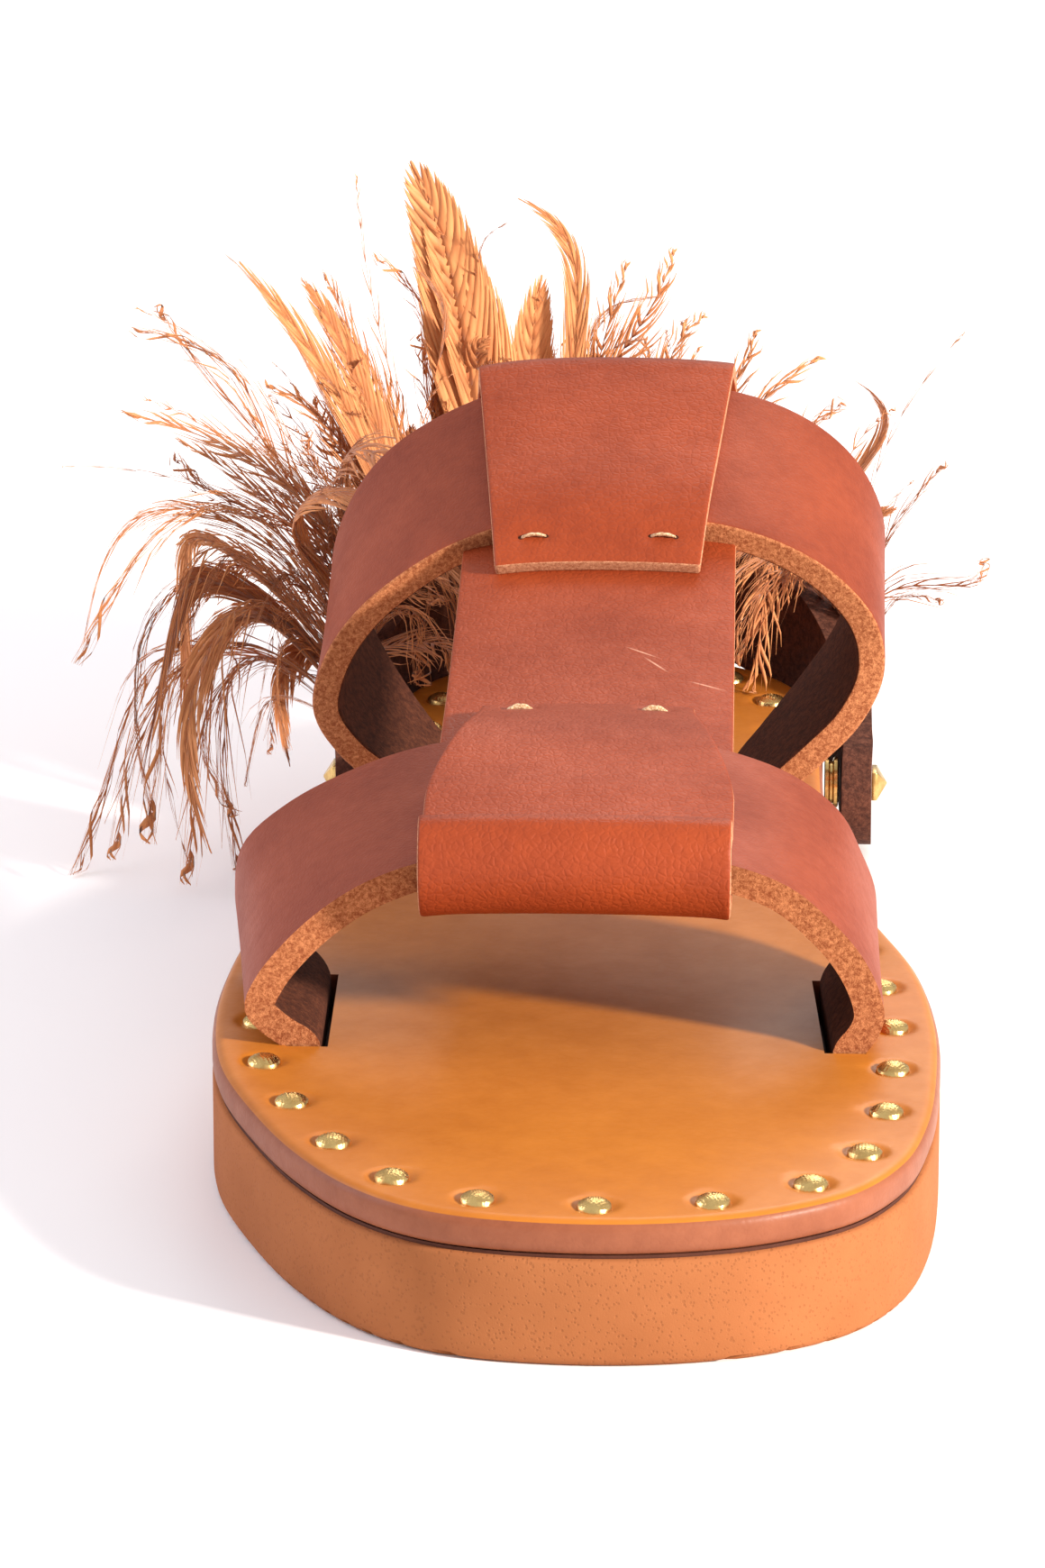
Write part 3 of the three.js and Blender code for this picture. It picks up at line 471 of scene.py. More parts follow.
sole = {
    "length": 260.0,
    "ballWidth": 102.0,
    "thickness": 15.6,
    "edgeRadius": 1.4,
    "around": 260,
    "treadPitch": 3.4,
    "treadWidth": 1.1,
    "treadDepth": 0.9,
    # height of the dark band of painted shade along the sole's top
    "paintedGapShade": 0.5,
    # where along the sole, and how far its lateral and medial side reach, as shares of the ball width
    "outline": [
        (0.007, 0.11, 0.19), (0.022, 0.20, 0.29), (0.05, 0.28, 0.385), (0.095, 0.355, 0.449),
        (0.152, 0.42, 0.481), (0.228, 0.482, 0.495), (0.31, 0.504, 0.494), (0.4, 0.496, 0.467),
        (0.5, 0.462, 0.4), (0.6, 0.415, 0.352), (0.7, 0.372, 0.336), (0.8, 0.343, 0.331),
        (0.88, 0.337, 0.327), (0.94, 0.28, 0.275), (0.975, 0.19, 0.19),
    ],
    "toeTip": 0.045,
}
footbed = {
    "thickness": 4.9,
    "edgeRadius": 1.7,
    "around": 720,
    "dimpleDepth": 0.55,
    "dimpleRadius": 3.7,
    "dimpleFloor": 2.3,
    "slotGap": 0.3,
    "slotInnerGap": 1.3,
    "sideSlope": 0.75,
}
footbedTop = sole["thickness"] + footbed["thickness"]


def toY(setback):
    return setback - sole["length"] / 2


def outlinePoints():
    width, length = sole["ballWidth"], sole["length"]
    medial = [Vector((row[2] * width, toY(row[0] * length), 0)) for row in sole["outline"]]
    lateral = [Vector((-row[1] * width, toY(row[0] * length), 0)) for row in sole["outline"]]
    toe = Vector((sole["toeTip"] * width, toY(0), 0))
    heel = Vector((0, toY(length), 0))
    return [toe, *medial, heel, *reversed(lateral)]


def outlineRing(count):
    # places round the sole with their inward side, from the toe round the medial side
    points = outlinePoints()
    ring = []
    for share in evenShares(points, count, True):
        heading = headingAt(points, share, True)
        ring.append((lineAt(points, share, True), Vector((-heading.y, heading.x, 0))))
    return ring


def sideReach(direction, y):
    # how far the sole's side stands out at one place along the shoe
    ring = [point for point, _ in outlineRing(144) if point.x * direction > 0]
    ring.sort(key=lambda point: point.y)
    after = next(place for place, point in enumerate(ring) if point.y >= y)
    low, high = ring[after - 1], ring[after]
    return mix(low.x, high.x, (y - low.y) / (high.y - low.y))


def outlineSlab(bm, count, levels, heightChange=None):
    # levels are pairs of inset and height, from the middle of the underside to that of the top
    ring = outlineRing(count)

    def placeAt(u, v):
        point, inward = ring[round(u * count) % count]
        inset, height = levels[round(v * (len(levels) - 1))]
        place = point + inward * inset + up * height
        if heightChange:
            place.z += heightChange(place)
        return place

    mapGrid(bm, count, len(levels) - 1, placeAt)
    closeSeams(bm)
    fillRims(bm)
    faceOut(bm)


def roundedLevels(radius, bottom, top, steps):
    # a quarter round from the side into the top
    levels = []
    for step in range(steps + 1):
        angle = math.pi / 2 * step / steps
        levels.append((radius * (1 - math.cos(angle)), top - radius + radius * math.sin(angle)))
    return levels


def cutAway(piece, bm, name):
    # cuts the closed shapes in the mesh out of the piece
    mesh = bpy.data.meshes.new(name)
    bmesh.ops.scale(bm, vec=(mm, mm, mm), verts=bm.verts)
    bm.to_mesh(mesh)
    bm.free()
    cutter = bpy.data.objects.new(name, mesh)
    bpy.context.scene.collection.objects.link(cutter)
    cut = piece.modifiers.new("cut", "BOOLEAN")
    cut.operation = "DIFFERENCE"
    cut.solver = "EXACT"
    cut.object = cutter
    depsgraph = bpy.context.evaluated_depsgraph_get()
    result = bpy.data.meshes.new_from_object(piece.evaluated_get(depsgraph))
    piece.modifiers.remove(cut)
    oldMesh = piece.data
    piece.data = result
    bpy.data.meshes.remove(oldMesh)
    bpy.data.objects.remove(cutter)
    bpy.data.meshes.remove(mesh)


def makeSole():
    bm = bmesh.new()
    radius = sole["edgeRadius"]
    under = [(inset, height) for inset, height in roundedLevels(radius, 0, 0, 4)]
    levels = [(6.0, 0.0)]
    levels += [(inset, -height) for inset, height in reversed(under)]
    levels += [(0, 4.0), (0, 8.0), (0, 12.0)]
    levels += roundedLevels(radius / 2, 0, sole["thickness"] - sole["paintedGapShade"], 3)
    levels += [(radius / 2, sole["thickness"]), (6.0, sole["thickness"])]
    outlineSlab(bm, sole["around"], levels)
    # faces in the top band take the painted shade of the gap under the footbed
    for face in bm.faces:
        if face.calc_center_median().z > sole["thickness"] - sole["paintedGapShade"] * 0.8:
            face.material_index = 1
    piece = makePiece("sole_unit", bm, [foam, paintedGapShade], ["sole"], 60)
    tread = bmesh.new()
    count = int(sole["length"] / sole["treadPitch"])
    for place in range(1, count):
        y = toY(place * sole["treadPitch"])
        made = bmesh.ops.create_cube(tread, size=1.0)["verts"]
        bmesh.ops.scale(tread, vec=(sole["ballWidth"] * 1.3, sole["treadWidth"], 2 * sole["treadDepth"]), verts=made)
        bmesh.ops.translate(tread, vec=(0, y, 0), verts=made)
    cutAway(piece, tread, "treadCutter")
    return piece


studCentres = []
for node in sorted(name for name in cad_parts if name.startswith("footbed_stud_")):
    low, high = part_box(node)
    studCentres.append((Vector(low) + Vector(high)) / 2 / mm)


def dimpleAt(place):
    nearest = min((place.xy - centre.xy).length for centre in studCentres)
    sink = 1 - ease(nearest, footbed["dimpleFloor"], footbed["dimpleRadius"])
    return -footbed["dimpleDepth"] * sink if place.z > footbedTop - 1 else 0


# Straps of the upper

straps = {
    "thickness": 4.2,
    "footTaper": 8.0,
    "footFlare": 0.35,
    "columns": 110,
    "rows": 14,
    "bevel": 0.55,
    "front": {
        "start": 67.0, "width": 38.0, "heights": (27.2, 32.1),
        # front lateral, front medial, rear lateral, rear medial
        "reach": (43.86, 40.7, 48.04, 39.58),
        "footInset": (12.8, 12.8, 13.0, 12.8),
        "fold": {"radius": 6.6, "rise": 0.9, "slack": 0.2},
        # height, then the four reaches, as shares
        "shape": [
            (0.07, 0.915, 0.963, 0.832, 0.945), (0.12, 0.957, 0.985, 0.905, 0.975),
            (0.2, 1.0, 1.0, 0.98, 0.995), (0.33, 0.97, 0.98, 1.0, 1.0), (0.5, 0.89, 0.92, 0.98, 0.95),
            (0.67, 0.78, 0.82, 0.86, 0.88), (0.82, 0.64, 0.7, 0.68, 0.73), (0.93, 0.46, 0.51, 0.48, 0.5),
            (0.985, 0.22, 0.25, 0.24, 0.25),
        ],
    },
    "rear": {
        "start": 172.0, "width": 33.0, "heights": (46.0, 58.6),
        "reach": (41.3, 40.9, 40.4, 40.8),
        "footInset": (14.7, 12.2, 12.6, 12.2),
        "fold": {"radius": 3.9, "rise": 0.0, "slack": 0.8},
        "shape": [
            (0.1, 0.74, 0.65, 0.7, 0.64), (0.22, 0.91, 0.79, 0.84, 0.79),
            (0.35, 1.0, 0.925, 0.95, 0.92), (0.5, 0.97, 1.0, 1.0, 0.99), (0.65, 0.87, 0.98, 0.95, 1.0),
            (0.79, 0.7, 0.86, 0.82, 0.91), (0.9, 0.5, 0.67, 0.6, 0.73), (0.975, 0.24, 0.38, 0.3, 0.42),
        ],
    },
}


def strapLine(strap, edge):
    # the strap's middle line at its front (0) or rear (1) edge, from the lateral to the medial foot
    def edgeY(rise):
        taper = edge * straps["footTaper"] * (1 - ease(rise, 0, straps["footFlare"]))
        return toY(strap["start"] + edge * strap["width"]) - taper

    sides = []
    for column, direction in ((0, -1), (1, 1)):
        place = 2 * edge + column
        footX = sideReach(direction, edgeY(0)) - direction * strap["footInset"][place]
        points = [Vector((footX, edgeY(0), z)) for z in (sole["thickness"], footbedTop)]
        for row in strap["shape"]:
            x = direction * row[1 + place] * strap["reach"][place]
            points.append(Vector((x, edgeY(row[0]), footbedTop + row[0] * strap["heights"][edge])))
        sides.append(points)
    return [*sides[0], *reversed(sides[1])]


for strap in (straps["front"], straps["rear"]):
    strap["lines"] = (strapLine(strap, 0), strapLine(strap, 1))
    strap["frontY"] = toY(strap["start"])
    strap["rearY"] = toY(strap["start"] + strap["width"])


def strapPlace(strap, u, v):
    return lineAt(strap["lines"][0], u).lerp(lineAt(strap["lines"][1], u), v)


def makeStrap(name, strap):
    bm = bmesh.new()
    mapGrid(bm, straps["columns"], straps["rows"], lambda u, v: strapPlace(strap, u, v))
    closeSeams(bm)
    for face in bm.faces:
        face.normal_update()
    top = max(bm.faces, key=lambda face: face.calc_center_median().z)
    if top.normal.z < 0:
        bmesh.ops.reverse_faces(bm, faces=bm.faces)
    piece = makePiece(name, bm, [leatherOutside, leatherInside, leatherEdge], ["upper"])
    addWall(piece, straps["thickness"], straps["bevel"])
    return piece


def slotCutter(strap, bm):
    # the room for one strap's feet, wider on the inner side, down to the sole
    outer = straps["thickness"] / 2 + footbed["slotGap"]
    inner = straps["thickness"] / 2 + footbed["slotInnerGap"]
    for side, u in ((-1, 0.0), (1, 1.0)):
        feet = [lineAt(line, u) for line in strap["lines"]]
        above = [lineAt(line, abs(u - 0.055)) for line in strap["lines"]]
        made = bmesh.ops.create_cube(bm, size=1.0)["verts"]
        for vert in made:
            edge = 1 if vert.co.y > 0 else 0
            outward = vert.co.x * side > 0
            foot = feet[edge] if vert.co.z < 0 else above[edge]
            gap = outer if outward else -inner
            gapY = footbed["slotGap"] * (1 if edge else -1)
            z = sole["thickness"] - 1 if vert.co.z < 0 else footbedTop + 2
            vert.co = Vector((foot.x + side * gap, foot.y + gapY, z))
    return bm


def makeFootbed():
    bm = bmesh.new()
    radius = footbed["edgeRadius"]
    levels = [(6.0, sole["thickness"]), (radius * 0.6, sole["thickness"]), (radius * 0.2, sole["thickness"] + 0.5)]
    levels += [(0, sole["thickness"] + radius * 0.9)]
    levels += roundedLevels(radius, 0, footbedTop, 6)
    topLevels = [(inset, footbedTop) for inset in (2.2, 2.8, 3.4, 4.0, 4.6, 5.2, 5.8, 6.4, 7.0, 7.6, 8.2, 8.8, 9.4, 10.2, 12.0)]
    outlineSlab(bm, footbed["around"], levels + topLevels, dimpleAt)
    piece = makePiece("footbed_board", bm, [footbedTopLeather, footbedSide], ["footbed"], 50)
    cutter = bmesh.new()
    slotCutter(straps["front"], cutter)
    slotCutter(straps["rear"], cutter)
    cutAway(piece, cutter, "slotCutter")
    for polygon in piece.data.polygons:
        polygon.material_index = 1 if polygon.normal.z < footbed["sideSlope"] else 0
    piece.data.set_sharp_from_angle(angle=math.radians(40))
    return piece


makeSole()
makeFootbed()
print("sole and footbed are made")
makeStrap("front_strap", straps["front"])
makeStrap("rear_strap", straps["rear"])
print("straps are made")

# Centre strip: under each strap, round its outer edge and back over it

strip = {
    "thickness": 2.3,
    "frontWidth": 43.0,
    "rearWidth": 40.0,
    "endWidth": 30.6,
    "foldFollow": 0.3,
    "foldEasing": 3.0,
    "sag": 1.6,
    "frontTail": 14.5,
    "rearTail": 9.0,
    "overlap": 0.25,
    "steps": 210,
    "columns": 40,
    "bevel": 0.4,
    "stitchLength": 3.8,
    "stitchRadius": 0.42,
    # radius of the dark domes that paint the shade in the stitch holes
    "holeShadeRadius": 0.62,
    "stitchApart": 19.4,
    "frontStitchIn": 3.4,
    "rearStitchIn": 5.2,
}
layerOffset = (straps["thickness"] + strip["thickness"]) / 2 - strip["overlap"]


def crownOf(line, x):
    low, high = 0.3, 0.7
    for _ in range(30):
        middle = (low + high) / 2
        if lineAt(line, middle).x < x:
            low = middle
        else:
            high = middle
    return lineAt(line, low).z


crownSteps = [x * 2.0 - 24 for x in range(25)]
for strap in (straps["front"], straps["rear"]):
    strap["crowns"] = [[crownOf(line, x) for x in crownSteps] for line in strap["lines"]]


def crownHeight(strap, x, share):
    place = (x - crownSteps[0]) / 2.0
    first = min(max(int(place), 0), len(crownSteps) - 2)
    front, rear = (mix(row[first], row[first + 1], place - first) for row in strap["crowns"])
    return mix(front, rear, share)


def crownShift(x, y):
    shifts = []
    for strap in (straps["front"], straps["rear"]):
        share = min(max((y - strap["frontY"]) / strap["width"], 0), 1)
        shifts.append(crownHeight(strap, x, share) - crownHeight(strap, 0, share))
    between = (y - straps["front"]["rearY"]) / (straps["rear"]["frontY"] - straps["front"]["rearY"])
    ahead = min(max((straps["front"]["frontY"] - y) / strip["foldEasing"], 0), 1)
    return mix(1, strip["foldFollow"], ahead) * mix(shifts[0], shifts[1], min(max(between, 0), 1))


def bridgePoint(share):
    low = crownHeight(straps["front"], 0, 1) - layerOffset
    high = crownHeight(straps["rear"], 0, 0) - layerOffset
    y = mix(straps["front"]["rearY"], straps["rear"]["frontY"], share)
    return Vector((0.5, y, mix(low, high, share) - strip["sag"] * math.sin(math.pi * share)))


def foldPoint(strap, degrees):
    direction = -1 if strap is straps["front"] else 1
    edgeY = strap["frontY"] if direction < 0 else strap["rearY"]
    fold = strap["fold"]
    middle = crownHeight(strap, 0, 0 if direction < 0 else 1) + fold["rise"]
    angle = math.radians(degrees)
    y = edgeY + direction * (fold["slack"] + fold["radius"] * math.cos(angle))
    follow = 0.75 - 0.25 * math.sin(angle)
    return Vector((follow, y, middle + fold["radius"] * math.sin(angle)))


def onStrap(strap, share, side):
    y = mix(strap["frontY"], strap["rearY"], share)
    return Vector((0.5 if side > 0 else 1.0, y, crownHeight(strap, 0, share) + side * layerOffset))


def stripPath():
    # the first number of each point says how far the strip follows the crown of the strap there
    front, rear = straps["front"], straps["rear"]
    tailShares = [strip[name] / (rear["frontY"] - front["rearY"]) for name in ("frontTail", "rearTail")]
    lift = up * (strip["thickness"] - strip["overlap"])
    folds = (65, 30, 0, -30, -65)
    return [
        bridgePoint(tailShares[0]) + lift, onStrap(front, 0.96, 1), onStrap(front, 0.5, 1), onStrap(front, 0.06, 1),
        *(foldPoint(front, angle) for angle in folds),
        onStrap(front, 0.06, -1), onStrap(front, 0.5, -1), bridgePoint(0), bridgePoint(0.33), bridgePoint(0.67),
        bridgePoint(1), onStrap(rear, 0.5, -1), onStrap(rear, 0.94, -1),
        *(foldPoint(rear, angle) for angle in reversed(folds)),
        onStrap(rear, 0.94, 1), onStrap(rear, 0.5, 1), onStrap(rear, 0.04, 1), bridgePoint(1 - tailShares[1]) + lift,
    ]


stripPoints = stripPath()
stripShares = evenShares(stripPoints, strip["steps"] + 1)
stripLine = [(lineAt(stripPoints, share), headingAt(stripPoints, share)) for share in stripShares]


def lengthAt(step):
    return step / strip["steps"] * stripLength


stripLength = sum((b[0] - a[0]).length for a, b in zip(stripLine, stripLine[1:]))
foldSteps = [min(range(len(stripLine)), key=lambda step: stripLine[step][0].y),
             max(range(len(stripLine)), key=lambda step: stripLine[step][0].y)]


def stripHalfWidth(step):
    if step < foldSteps[0]:
        return mix(strip["endWidth"], strip["frontWidth"], ease(step / foldSteps[0], 0, 0.6)) / 2
    if step > foldSteps[1]:
        rest = (len(stripLine) - 1 - step) / (len(stripLine) - 1 - foldSteps[1])
        return mix(strip["endWidth"], strip["rearWidth"], rest) / 2
    share = (step - foldSteps[0]) / (foldSteps[1] - foldSteps[0])
    return mix(strip["frontWidth"], strip["rearWidth"], share) / 2


def stripPlace(x, step, standOff=0.0):
    point, heading = stripLine[min(max(round(step), 0), strip["steps"])]
    across = Vector((0, -heading.z, heading.y)).normalized()
    return Vector((x, point.y, point.z + point.x * crownShift(x, point.y))) + across * standOff


def stitchPlaces():
    # where each stitch lies: across the strip, and its step along the strip
    frontStep = strip["frontStitchIn"] / stripLength * strip["steps"]
    rearStep = strip["steps"] - strip["rearStitchIn"] / stripLength * strip["steps"]
    apart = strip["stitchApart"] / 2
    return [(side * apart, step) for step in (frontStep, rearStep) for side in (-1, 1)]


def stitchDent(x, step):
    dent = 0
    for middle, at in stitchPlaces():
        along = (step - at) / strip["steps"] * stripLength
        beside = max(abs(x - middle) - strip["stitchLength"] / 2, 0)
        dent = max(dent, 0.5 * (1 - ease(math.hypot(along, beside), 0.3, 1.7)))
    return dent


def makeStrip():
    bm = bmesh.new()

    def placeAt(u, v):
        step = round(v * strip["steps"])
        x = mix(-1, 1, u) * stripHalfWidth(step)
        return stripPlace(x, step, outside * -stitchDent(x, step))

    top, heading = stripLine[foldSteps[0] // 2]
    outside = 1 if heading.y > 0 else -1
    mapGrid(bm, strip["columns"], strip["steps"], placeAt)
    upper = max(bm.faces, key=lambda face: face.calc_center_median().z)
    upper.normal_update()
    if upper.normal.z < 0:
        bmesh.ops.reverse_faces(bm, faces=bm.faces)
    piece = makePiece("centre_strip", bm, [leatherStrip, leatherStrip, stripEdge], ["upper"])
    addWall(piece, strip["thickness"], strip["bevel"], 2)
    return piece


def makeStitches():
    bm = bmesh.new()
    rise = strip["thickness"] / 2
    for middle, at in stitchPlaces():
        point, heading = stripLine[round(at)]
        outside = 1 if heading.y > 0 else -1
        half = strip["stitchLength"] / 2

        def placeAt(u, v):
            along = mix(-1, 1, v)
            bow = math.cos(along * math.pi / 2) ** 0.6
            angle = 2 * math.pi * u
            radius = strip["stitchRadius"] * (0.72 + 0.28 * bow) * (1 + 0.13 * math.cos(2 * angle + 9 * along))
            height = rise - 0.55 + 0.75 * bow + radius * math.sin(angle)
            place = stripPlace(middle + along * half, at, outside * height)
            place.y += radius * math.cos(angle)
            return place

        mapGrid(bm, 12, 26, placeAt)
    closeSeams(bm)
    fillRims(bm)
    threadFaces = set(bm.faces)
    for middle, at in stitchPlaces():
        # the dark domes at both ends of each stitch: painted shade of the holes the thread goes through
        outside = 1 if stripLine[round(at)][1].y > 0 else -1
        for side in (-1, 1):
            made = bmesh.ops.create_icosphere(bm, subdivisions=2, radius=strip["holeShadeRadius"])["verts"]
            place = stripPlace(middle + side * strip["stitchLength"] / 2, at, outside * (rise - 0.85))
            bmesh.ops.translate(bm, vec=place, verts=made)
    for face in bm.faces:
        face.material_index = 0 if face in threadFaces else 1
    faceOut(bm)
    return makePiece("stitches", bm, [thread, leatherInside], ["upper"])


makeStrip()
makeStitches()
print("centre strip is made")

# Heel strap with its spacers and studs

heel = {
    "height": 18.2,
    "thickness": 4.7,
    "rise": 21.0,
    "ease": 0.2,
    "gap": 0.3,
    "postSetback": 221.0,
    "postHeight": 10.9,
    "spacerRadius": 4.0,
    "spacerLength": 2.2,
    "pyramidWidth": 4.6,
    "pyramidHeight": 2.5,
    "plinth": 0.8,
    "turnMargin": 2.0,
    "columns": 150,
    "rows": 10,
    "bevel": 1.0,
}
postY = toY(heel["postSetback"])
heelOffset = heel["spacerLength"] + 2 * heel["gap"] + heel["ease"] + heel["thickness"] / 2


def heelPath():
    frontY = postY - heel["height"] / 2
    around = [point - inward * heelOffset for point, inward in outlineRing(144)]
    around = [point for point in around if point.y > postY + heel["turnMargin"]]
    medial = sideReach(1, postY) + heelOffset
    lateral = sideReach(-1, postY) - heelOffset
    points = [Vector((medial, frontY, 0)), Vector((medial, postY, 0)), *around[2::4],
              Vector((lateral, postY, 0)), Vector((lateral, frontY, 0))]
    backY = sole["length"] / 2 + heelOffset
    for point in points:
        point.z = heel["postHeight"] + heel["rise"] * (point.y - postY) / (backY - postY)
    return points


heelPoints = heelPath()
heelShares = evenShares(heelPoints, 401)
heelLength = sum((lineAt(heelPoints, b) - lineAt(heelPoints, a)).length for a, b in zip(heelShares, heelShares[1:]))


def heelFrame(share):
    # place, outward side, upward side and heading of the heel strap at a share of its length
    place = share * (len(heelShares) - 1)
    first = min(max(int(place), 0), len(heelShares) - 2)
    at = mix(heelShares[first], heelShares[first + 1], place - first)
    heading = headingAt(heelPoints, at)
    outward = Vector((heading.y, -heading.x, 0)).normalized()
    return lineAt(heelPoints, at), outward, outward.cross(heading).normalized(), heading


def makeHeelStrap():
    bm = bmesh.new()
    radius = heel["height"] / 2

    def placeAt(u, v):
        spread = 0.5 - 0.5 * math.cos(math.pi * u)
        share = mix(u, spread, 0.35)
        fromEnd = min(share, 1 - share) * heelLength
        missing = max(radius - fromEnd, 0)
        half = math.sqrt(max(radius ** 2 - missing ** 2, 0))
        point, outward, upward, _ = heelFrame(share)
        return point + upward * mix(-half, half, v)

    mapGrid(bm, heel["columns"], heel["rows"], placeAt)
    closeSeams(bm)
    back = max(bm.faces, key=lambda face: face.calc_center_median().y)
    back.normal_update()
    if back.normal.y < 0:
        bmesh.ops.reverse_faces(bm, faces=bm.faces)
    piece = makePiece("heel_band", bm, [heelLeather, leatherInside, heelEdge], ["heel_strap"])
    addWall(piece, heel["thickness"], heel["bevel"], 4)
    return piece


def layOutwards(bm, verts, direction, distance):
    turn = Matrix.Rotation(direction * math.pi / 2, 3, "Y")
    bmesh.ops.rotate(bm, cent=(0, 0, 0), matrix=turn, verts=verts)
    at = Vector((sideReach(direction, postY) + direction * distance, postY, heel["postHeight"]))
    bmesh.ops.translate(bm, vec=at, verts=verts)


def makeSpacer(side, direction):
    # two turned rings with a waist between them
    bm = bmesh.new()
    radius, length = heel["spacerRadius"], heel["spacerLength"]
    profile = [(0.0, 0.0), (0.9, 0.0), (1.0, 0.07), (1.0, 0.3), (0.93, 0.37), (0.84, 0.42), (0.84, 0.58),
               (0.93, 0.63), (1.0, 0.7), (1.0, 0.93), (0.9, 1.0), (0.0, 1.0)]
    verts = mapGrid(bm, 40, len(profile) - 1, lambda u, v: spinPlace(profile, u, v, radius, length))
    closeSeams(bm)
    faceOut(bm)
    layOutwards(bm, bm.verts, direction, heel["gap"])
    return makePiece("spacer_rings_" + side, bm, [brass], ["spacer_" + side], 40)


def spinPlace(profile, u, v, radius, length):
    across, along = profile[round(v * (len(profile) - 1))]
    angle = 2 * math.pi * u
    return Vector((math.cos(angle) * across * radius, math.sin(angle) * across * radius, along * length))


def makePyramidStud(side, direction):
    bm = bmesh.new()
    width = heel["pyramidWidth"]
    made = bmesh.ops.create_cube(bm, size=1.0)["verts"]
    bmesh.ops.scale(bm, vec=(width, width, heel["plinth"]), verts=made)
    bmesh.ops.translate(bm, vec=(0, 0, heel["plinth"] / 2), verts=made)
    top = max(bm.faces, key=lambda face: face.calc_center_median().z)
    point = bmesh.ops.poke(bm, faces=[top])["verts"][0]
    point.co.z = heel["pyramidHeight"]
    bmesh.ops.bevel(bm, geom=bm.edges[:], affect="EDGES", offset=0.14, segments=2, profile=0.5, material=-1)
    layOutwards(bm, bm.verts, direction, heelOffset + heel["thickness"] / 2 + heel["gap"] * 0.3)
    faceOut(bm)
    return makePiece("pyramid_stud_" + side, bm, [brass], ["stud_" + side], 40)


makeHeelStrap()
for side, direction in (("medial", 1), ("lateral", -1)):
    makeSpacer(side, direction)
    makePyramidStud(side, direction)
print("heel strap is made")

# Small domed studs with a cut cross-hatch

smallStud = {
    "radius": 2.4,
    "height": 1.3,
    "sink": 0.45,
    "cells": 26,
    "hatchLines": 7,
    "hatchDepth": 0.2,
}


def studPlace(centre, turn, u, v):
    # the square grid is pressed into a round dome; its rim goes straight down
    a, b = mix(-1, 1, u), mix(-1, 1, v)
    x, y = a * math.sqrt(1 - b * b / 2), b * math.sqrt(1 - a * a / 2)
    out = math.hypot(x, y)
    radius, height = smallStud["radius"], smallStud["height"]
    dome = height * (1 - out ** 2.6 * 0.72)
    lines = math.pi * smallStud["hatchLines"]
    hatch = abs(math.sin(lines * (a + b) / 2)) * abs(math.sin(lines * (a - b) / 2))
    dome += smallStud["hatchDepth"] * (hatch - 0.5) * (1 - ease(out, 0.8, 0.97))
    if out > 0.995:
        dome = -0.2
    cosine, sine = math.cos(turn), math.sin(turn)
    place = Vector((x * cosine - y * sine, x * sine + y * cosine, 0)) * radius
    return centre + place + up * (dome - smallStud["sink"])


def makeSmallStuds():
    bm = bmesh.new()
    for number, centre in enumerate(studCentres):
        seat = Vector((centre.x, centre.y, footbedTop))
        mapGrid(bm, smallStud["cells"], smallStud["cells"], lambda u, v: studPlace(seat, number * 1.3, u, v))
    fillRims(bm)
    faceOut(bm)
    nodes = sorted(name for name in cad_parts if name.startswith("footbed_stud_"))
    return makePiece("small_studs", bm, [brass], nodes, 50)


makeSmallStuds()
print("small studs are made")

# Feathers

